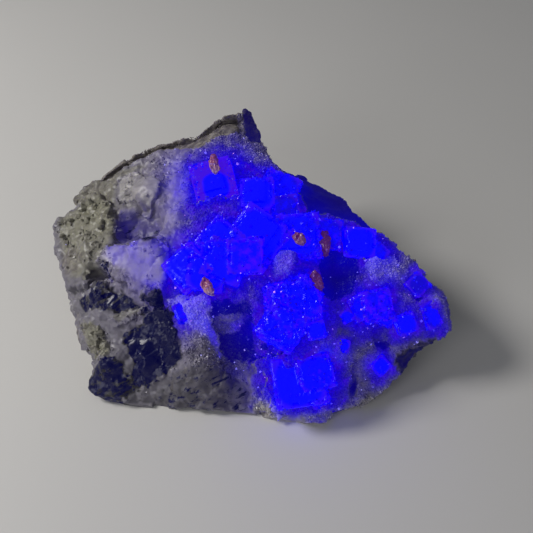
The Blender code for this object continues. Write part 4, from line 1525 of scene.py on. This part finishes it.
    def blue_light(self, points: Array, distances: Array, normals: Array) -> Array:
        """How much of the fluorite's blue light reaches each point, from 0 to 1.

        Args:
            points: the rock's vertices.
            distances: how far each point is outside each cube.
            normals: the normals at the points.

        Returns:
            A share for each point.
        """
        strength = np.array([0.6 + 0.4 * cube.tone * min(1.0, cube.size / 7.0) for cube in ALL_CUBES])
        reach = np.array([self.blue_reach * min(1.0, 0.35 + cube.size / 14.0) for cube in ALL_CUBES])
        blue = (strength[:, None] * np.exp(-np.maximum(distances, 0.0) / reach[:, None])).max(axis=0)
        return blue * smooth_step(np.clip(normals @ np.array(OUTWARDS) + 0.45, 0.0, 1.0))

    def values(self, points: Array, normals: Array) -> dict[Mask, Array]:
        """What the finishes and the crusts read at each point of the rock.

        Args:
            points: the rock's vertices.
            normals: the normals there.

        Returns:
            A row of values for each mask.
        """
        teeth = teeth_at(points)
        distances = np.array([cube.distance(points) for cube in ALL_CUBES])
        made = {mask: np.zeros(len(points)) for mask in Mask}
        made[Mask.BLUE] = self.blue_light(points, distances, normals)
        for mask, tints in TINTS.items():
            for outline, amount, edge in tints:
                share = share_inside(outline, points, teeth, edge)
                made[mask] = made[mask] * (1.0 - share) + amount * share
        # The ball stays pale in the painted shade of its hollow
        ball = np.array(GROUND.point(*self.ball) - OUTWARDS * self.ball_depth)
        from_ball = np.linalg.norm(points - ball, axis=1)
        on_ball = smooth_step((self.ball_radius - from_ball + 0.4 * teeth) / 0.8)
        made[Mask.PAINTED_SHADE] = made[Mask.PAINTED_SHADE] * (1.0 - 0.85 * on_ball)
        made[Mask.PALE] = np.maximum(made[Mask.PALE], 0.3 * on_ball)
        for mask, ovals in OVALS.items():
            made[mask] = np.clip(made[mask] + sum(oval.over(points) for oval in ovals), 0.0, 1.0)
        # No blue light, no painted shade and no milk runs down the back walls
        below = GROUND.height(points[:, :2]) - points[:, 2]
        wall = smooth_step((normals[:, 1] - 0.1) / 0.3) * smooth_step((below - 3.0) / 5.0)
        for mask in (Mask.BLUE, Mask.PAINTED_SHADE, Mask.PALE):
            made[mask] = made[mask] * (1.0 - wall)
        # The back is weathered, and so is the lower left a little
        back = smooth_step((normals[:, 1] * 0.8 + normals[:, 0] * 0.25 - 0.25) / 0.4)
        left = smooth_step((-normals[:, 0] - 0.3) / 0.4) * (points[:, 2] < self.left_weathering)
        made[Mask.WEATHERED] = np.clip(made[Mask.WEATHERED] + back + 0.5 * left, 0.0, 1.0)
        self.let_druse_grow(made, points, distances, normals)
        return made

    def let_druse_grow(self, made: dict[Mask, Array], points: Array, distances: Array, normals: Array) -> None:
        """Fills the masks of the druse.

        Args:
            made: the masks, with the looks filled in.
            points: the rock's vertices.
            distances: how far each point is outside each cube.
            normals: the normals at the points.
        """
        open_air = smooth_step((distances.min(axis=0) - 0.3) / 0.3) * (points[:, 2] > self.druse_from)
        upward = smooth_step((normals @ np.array(self.druse_side) - 0.25) / 0.35)
        bare = np.maximum(made[Mask.WEATHERED], made[Mask.DARK])
        patchy = roughness(points, 4.0)
        druse = open_air * upward * np.clip(1.0 - 2.2 * bare - 1.2 * made[Mask.DARK], 0.0, 1.0)
        # It thins out towards the left
        left_side = smooth_step((-10.0 - points[:, 0]) / 10.0)
        druse = druse * np.clip(0.75 + 0.5 * made[Mask.BLUE] + 0.7 * patchy - 0.85 * left_side, 0.0, 1.0)
        front = smooth_step((16.0 - points[:, 1]) / 4.0)
        creamy = open_air * upward * front * (1.0 - bare) * made[Mask.CREAM]
        made[Mask.RIM] = creamy * smooth_step((patchy + 0.1) / 0.4)
        split_x, split_y = self.druse_split
        left, upper = points[:, 0] <= split_x, points[:, 1] > split_y
        made[Mask.RIGHT] = druse * ~left
        made[Mask.UPPER] = druse * left * upper
        made[Mask.LOWER] = druse * left * ~upper


# ---- druse


CRUST_INPUTS = {
    "Geometry": "Geometry",
    "Most Per Area": "Float",
    "Least Apart": "Float",
    "Crystal Size": "Float",
    "Lean": "Float",
    "Sink": "Float",
    "Seed": "Int",
    "Habits": "Int",
    "Finish": "Material",
}


@dataclass(frozen=True)
class Crust:
    """A crust of small quartz crystals that grows where a mask says; its sizes are in millimetres.

    `density` is the most crystals on a square millimetre, `sink` the share of a crystal that is in the ground, and
    `habits` how many of the three shapes it draws from.
    """

    name: str
    mask: str
    density: float
    apart: float
    size: float
    seed: int
    lean: float = 40.0
    sink: float = 0.3
    habits: int = 1

    def grown_on(self, base: Mesh, finish: Material) -> Mesh:
        """Grows the crust over a mesh in the frame.

        Args:
            base: the surface that it grows on, in metres, with the mask.
            finish: the material of the crystals.

        Returns:
            The crystals as one plain mesh, in metres.
        """
        tree = crust_tree(self.name + "_nodes", self.mask)
        ground = new_object(self.name + "_ground", base)
        growth = ground.modifiers.new("growth", "NODES")
        growth.node_group = tree
        settings = {
            "Most Per Area": self.density / MM ** 2,
            "Least Apart": self.apart * MM,
            "Crystal Size": self.size * MM,
            "Lean": math.radians(self.lean),
            "Sink": self.sink,
            "Habits": self.habits,
            "Seed": self.seed,
            "Finish": finish,
        }
        for item in tree.interface.items_tree:
            if item.name in settings:
                growth[item.identifier] = settings[item.name]
        return settled(ground)


def crust_tree(name: str, mask: str) -> bpy.types.NodeTree:
    """The tree that strews six-sided quartz crystals of three habits over a surface.

    Args:
        name: the tree's name.
        mask: the attribute that says how densely they grow.

    Returns:
        The tree.
    """
    tree = bpy.data.node_groups.new(name, "GeometryNodeTree")
    for label, kind in CRUST_INPUTS.items():
        tree.interface.new_socket(label, in_out="INPUT", socket_type="NodeSocket" + kind)
    tree.interface.new_socket("Geometry", in_out="OUTPUT", socket_type="NodeSocketGeometry")
    bench = Bench(tree)
    given = bench.node("NodeGroupInput").outputs
    grows = bench.node("GeometryNodeInputNamedAttribute", {"Name": mask}, data_type="FLOAT").outputs[0]
    strewn = bench.node(
        "GeometryNodeDistributePointsOnFaces",
        {"Mesh": given["Geometry"], "Distance Min": given["Least Apart"], "Density Max": given["Most Per Area"],
         "Density Factor": grows, "Seed": given["Seed"]},
        distribute_method="POISSON",
    )

    def chance(low: object, high: object, offset: int, kind: str = "FLOAT") -> Socket:
        """A random value for each crystal, from `low` to `high`; each offset draws anew.

        Args:
            low: the least value.
            high: the greatest value.
            offset: added to the seed.
            kind: the kind of value.

        Returns:
            The value's socket.
        """
        least, most, result = {"FLOAT_VECTOR": (0, 1, 0), "FLOAT": (2, 3, 1), "INT": (4, 5, 2)}[kind]
        seed = bench.plus(given["Seed"], float(offset))
        sockets = {least: low, most: high, "Seed": seed}
        return bench.node("FunctionNodeRandomValue", sockets, data_type=kind).outputs[result]

    shaded = bench.node(
        "GeometryNodeStoreNamedAttribute",
        {"Geometry": strewn.outputs["Points"], "Name": "shade", "Value": chance(0.0, 1.0, 1)},
        data_type="FLOAT", domain="POINT",
    ).outputs[0]

    point = bench.node("GeometryNodeMeshCone", {"Vertices": 6, "Radius Top": 0.0, "Radius Bottom": 0.5,
                                                "Depth": 0.95}).outputs["Mesh"]
    stem = bench.node("GeometryNodeMeshCone", {"Vertices": 6, "Side Segments": 2, "Radius Top": 0.0,
                                               "Radius Bottom": 0.42, "Depth": 1.3}).outputs["Mesh"]
    place = bench.node("GeometryNodeInputPosition").outputs[0]
    height = bench.node("ShaderNodeSeparateXYZ", {0: place}).outputs[2]
    at_shoulder = bench.node("FunctionNodeCompare", {"A": height, "B": 0.65, "Epsilon": 0.1}, operation="EQUAL",
                             data_type="FLOAT").outputs[0]
    wider = bench.node("ShaderNodeVectorMath", {0: place, 1: (2.0, 2.0, 1.25)}, operation="MULTIPLY").outputs[0]
    stem = bench.node("GeometryNodeSetPosition", {"Geometry": stem, "Selection": at_shoulder,
                                                  "Position": wider}).outputs[0]
    chunk = bench.node("GeometryNodeMeshCube", {"Size": (0.8, 0.62, 0.7)}).outputs["Mesh"]
    habits = bench.node("GeometryNodeJoinGeometry")
    for shape in (stem, chunk, point):
        single = bench.node("GeometryNodeGeometryToInstance", {"Geometry": shape}).outputs[0]
        tree.links.new(single, habits.inputs[0])

    angle = bench.times(given["Lean"], -1.0)
    low = bench.node("ShaderNodeCombineXYZ", {0: angle, 1: angle, 2: -math.pi}).outputs[0]
    high = bench.node("ShaderNodeCombineXYZ", {0: given["Lean"], 1: given["Lean"], 2: math.pi}).outputs[0]
    turn = bench.node("FunctionNodeEulerToRotation", {0: chance(low, high, 2, "FLOAT_VECTOR")}).outputs[0]
    turned = bench.node("FunctionNodeRotateRotation", {0: strewn.outputs["Rotation"], 1: turn},
                        rotation_space="LOCAL").outputs[0]
    spread = bench.value("POWER", chance(0.0, 1.0, 3), 3.0)
    size = bench.times(given["Crystal Size"], bench.line(spread, 1.1, 0.65))
    grown = bench.node(
        "GeometryNodeInstanceOnPoints",
        {"Points": shaded, "Instance": habits.outputs[0], "Pick Instance": True,
         "Instance Index": chance(0, given["Habits"], 4, "INT"), "Rotation": turned, "Scale": size},
    ).outputs[0]
    drop = bench.times(bench.times(size, given["Sink"]), -1.0)
    sunk = bench.node(
        "GeometryNodeTranslateInstances",
        {"Instances": grown, "Translation": bench.node("ShaderNodeCombineXYZ", {2: drop}).outputs[0],
         "Local Space": True},
    ).outputs[0]
    real = bench.node("GeometryNodeRealizeInstances", {"Geometry": sunk}).outputs[0]
    dressed = bench.node("GeometryNodeSetMaterial", {"Geometry": real, "Material": given["Finish"]}).outputs[0]
    bench.node("NodeGroupOutput", {0: dressed})
    return tree


CRUSTS = (
    Crust("rim_druse", Mask.RIM.value, 0.6, 1.0, 1.25, 11, habits=2, sink=0.6),
    Crust("upper_druse", Mask.UPPER.value, 16.0, 0.26, 0.5, 12),
    Crust("lower_druse", Mask.LOWER.value, 16.0, 0.26, 0.5, 13),
    Crust("right_druse", Mask.RIGHT.value, 16.0, 0.26, 0.5, 14),
)
FROST = Crust("druse_on_fluorite", "frost", 9.0, 0.3, 0.55, 15)


# ---- the specimen and its setting


@dataclass
class Specimen:
    """The rock, its fluorite, its stained grains and its druse."""

    rock: Rock = field(default_factory=Rock)
    fluorite: FluoriteFinish = FluoriteFinish()
    quartz: QuartzFinish = QuartzFinish()
    druse: QuartzFinish = QuartzFinish(name="druse", roughness=0.36, relief=0.0, coat=0.5, by_crystal=True,
                                       translucency=0.0)
    frosting: QuartzFinish = QuartzFinish(
        name="frosting", roughness=0.36, relief=0.0, coat=0.0, by_crystal=True, translucency=0.0,
        purple=(0.006, 0.0, 0.72), glow_stops=((0.0, (0.0, 0.0, 0.5)), (0.9, (0.001, 0.0, 0.85))))
    grain: GrainFinish = GrainFinish()

    def build(self) -> None:
        """Builds every piece."""
        druse = self.druse.material()
        rock = into_frame(self.rock.mesh())
        for crust in CRUSTS:
            mesh = crust.grown_on(rock, druse)
            finished_piece(crust.name, mesh, druse)
        finished_piece("quartz_rock", rock, self.quartz.material(), ["quartz_matrix"], crisp=28.0)

        finish = self.fluorite.material()
        meshes = []
        for cluster in CLUSTERS:
            mesh = into_frame(cluster.mesh())
            meshes.append(mesh)
            name = cluster.node.replace("fluorite", "glowing", 1)
            finished_piece(name, mesh, finish, [cluster.node], crisp=24.0)
        frosting = self.frosting.material()
        frost = FROST.grown_on(joined(meshes, "all_fluorite"), frosting)
        give_values(frost, Mask.BLUE.value, np.full(len(frost.vertices), 1.0))
        finished_piece(FROST.name, frost, frosting)

        stained = self.grain.material()
        for grain in GRAINS:
            finished_piece(grain.node.replace("stained", "rusty", 1), into_frame(grain.mesh()), stained,
                           [grain.node], crisp=20.0)


@dataclass(frozen=True)
class Lamp:
    """A soft round light that faces the specimen; its place and size are in metres."""

    name: str
    place: tuple[float, float, float]
    size: float
    power: float
    colour: Colour

    def build(self) -> None:
        """Makes the light."""
        data = bpy.data.lights.new(self.name, "AREA")
        data.shape = "DISK"
        data.size = self.size
        data.energy = self.power
        data.color = self.colour
        lamp = new_object(self.name, data)
        lamp.location = self.place
        lamp.rotation_euler = (-Vector(self.place)).to_track_quat("-Z", "Y").to_euler()


@dataclass(frozen=True)
class Studio:
    """A pale floor, soft lights and the photograph's camera, whose aim and distance are in millimetres."""

    aim: Vector = Vector((2.85, 4.15, 16.6))
    distance: float = 210.27
    elevation: float = math.radians(47)
    lens: float = SENSOR_WIDTH * 732.2 / PHOTO_WIDTH
    shift: tuple[float, float] = (12.5 / PHOTO_WIDTH, -2.5 / PHOTO_WIDTH)
    floor_size: float = 1.5
    lamps: tuple[Lamp, ...] = (
        Lamp("key", (-0.36, 0.02, 0.36), 0.16, 1.6, (1.0, 0.98, 0.95)),
        Lamp("fill", (-0.34, -0.42, 0.24), 0.30, 0.8, (0.96, 0.96, 1.0)),
    )
    sky: Colour = (0.9, 0.93, 1.0)
    sky_strength: float = 0.15

    def camera(self) -> None:
        """Makes the camera."""
        data = bpy.data.cameras.new("camera")
        camera = new_object("camera", data)
        back = Vector((0.0, -math.cos(self.elevation), math.sin(self.elevation)))
        camera.location = (self.aim + back * self.distance) * MM
        camera.rotation_euler = (math.pi / 2 - self.elevation, 0.0, 0.0)
        data.sensor_width = SENSOR_WIDTH
        data.lens = self.lens
        data.shift_x, data.shift_y = self.shift
        data.clip_start = 0.001
        bpy.context.scene.camera = camera

    def floor(self) -> None:
        """Makes the floor."""
        shape = bmesh.new()
        bmesh.ops.create_grid(shape, x_segments=1, y_segments=1, size=self.floor_size)
        floor = new_object("floor", shaped(shape, "floor"))
        floor.data.materials.append(FloorFinish().material())

    def build(self) -> None:
        """Makes the whole setting."""
        self.camera()
        self.floor()
        for lamp in self.lamps:
            lamp.build()
        world = bpy.data.worlds.new("studio")
        world.use_nodes = True
        background = world.node_tree.nodes["Background"]
        Bench(world.node_tree).feed(background, {"Color": with_alpha(self.sky), "Strength": self.sky_strength})
        bpy.context.scene.world = world
        bpy.context.scene.view_settings.view_transform = "Standard"


def main() -> None:
    """Builds the specimen in its setting."""
    logging.basicConfig(level=logging.INFO, format="%(message)s")
    Studio().build()
    Specimen().build()


if __name__ == "__main__":
    main()
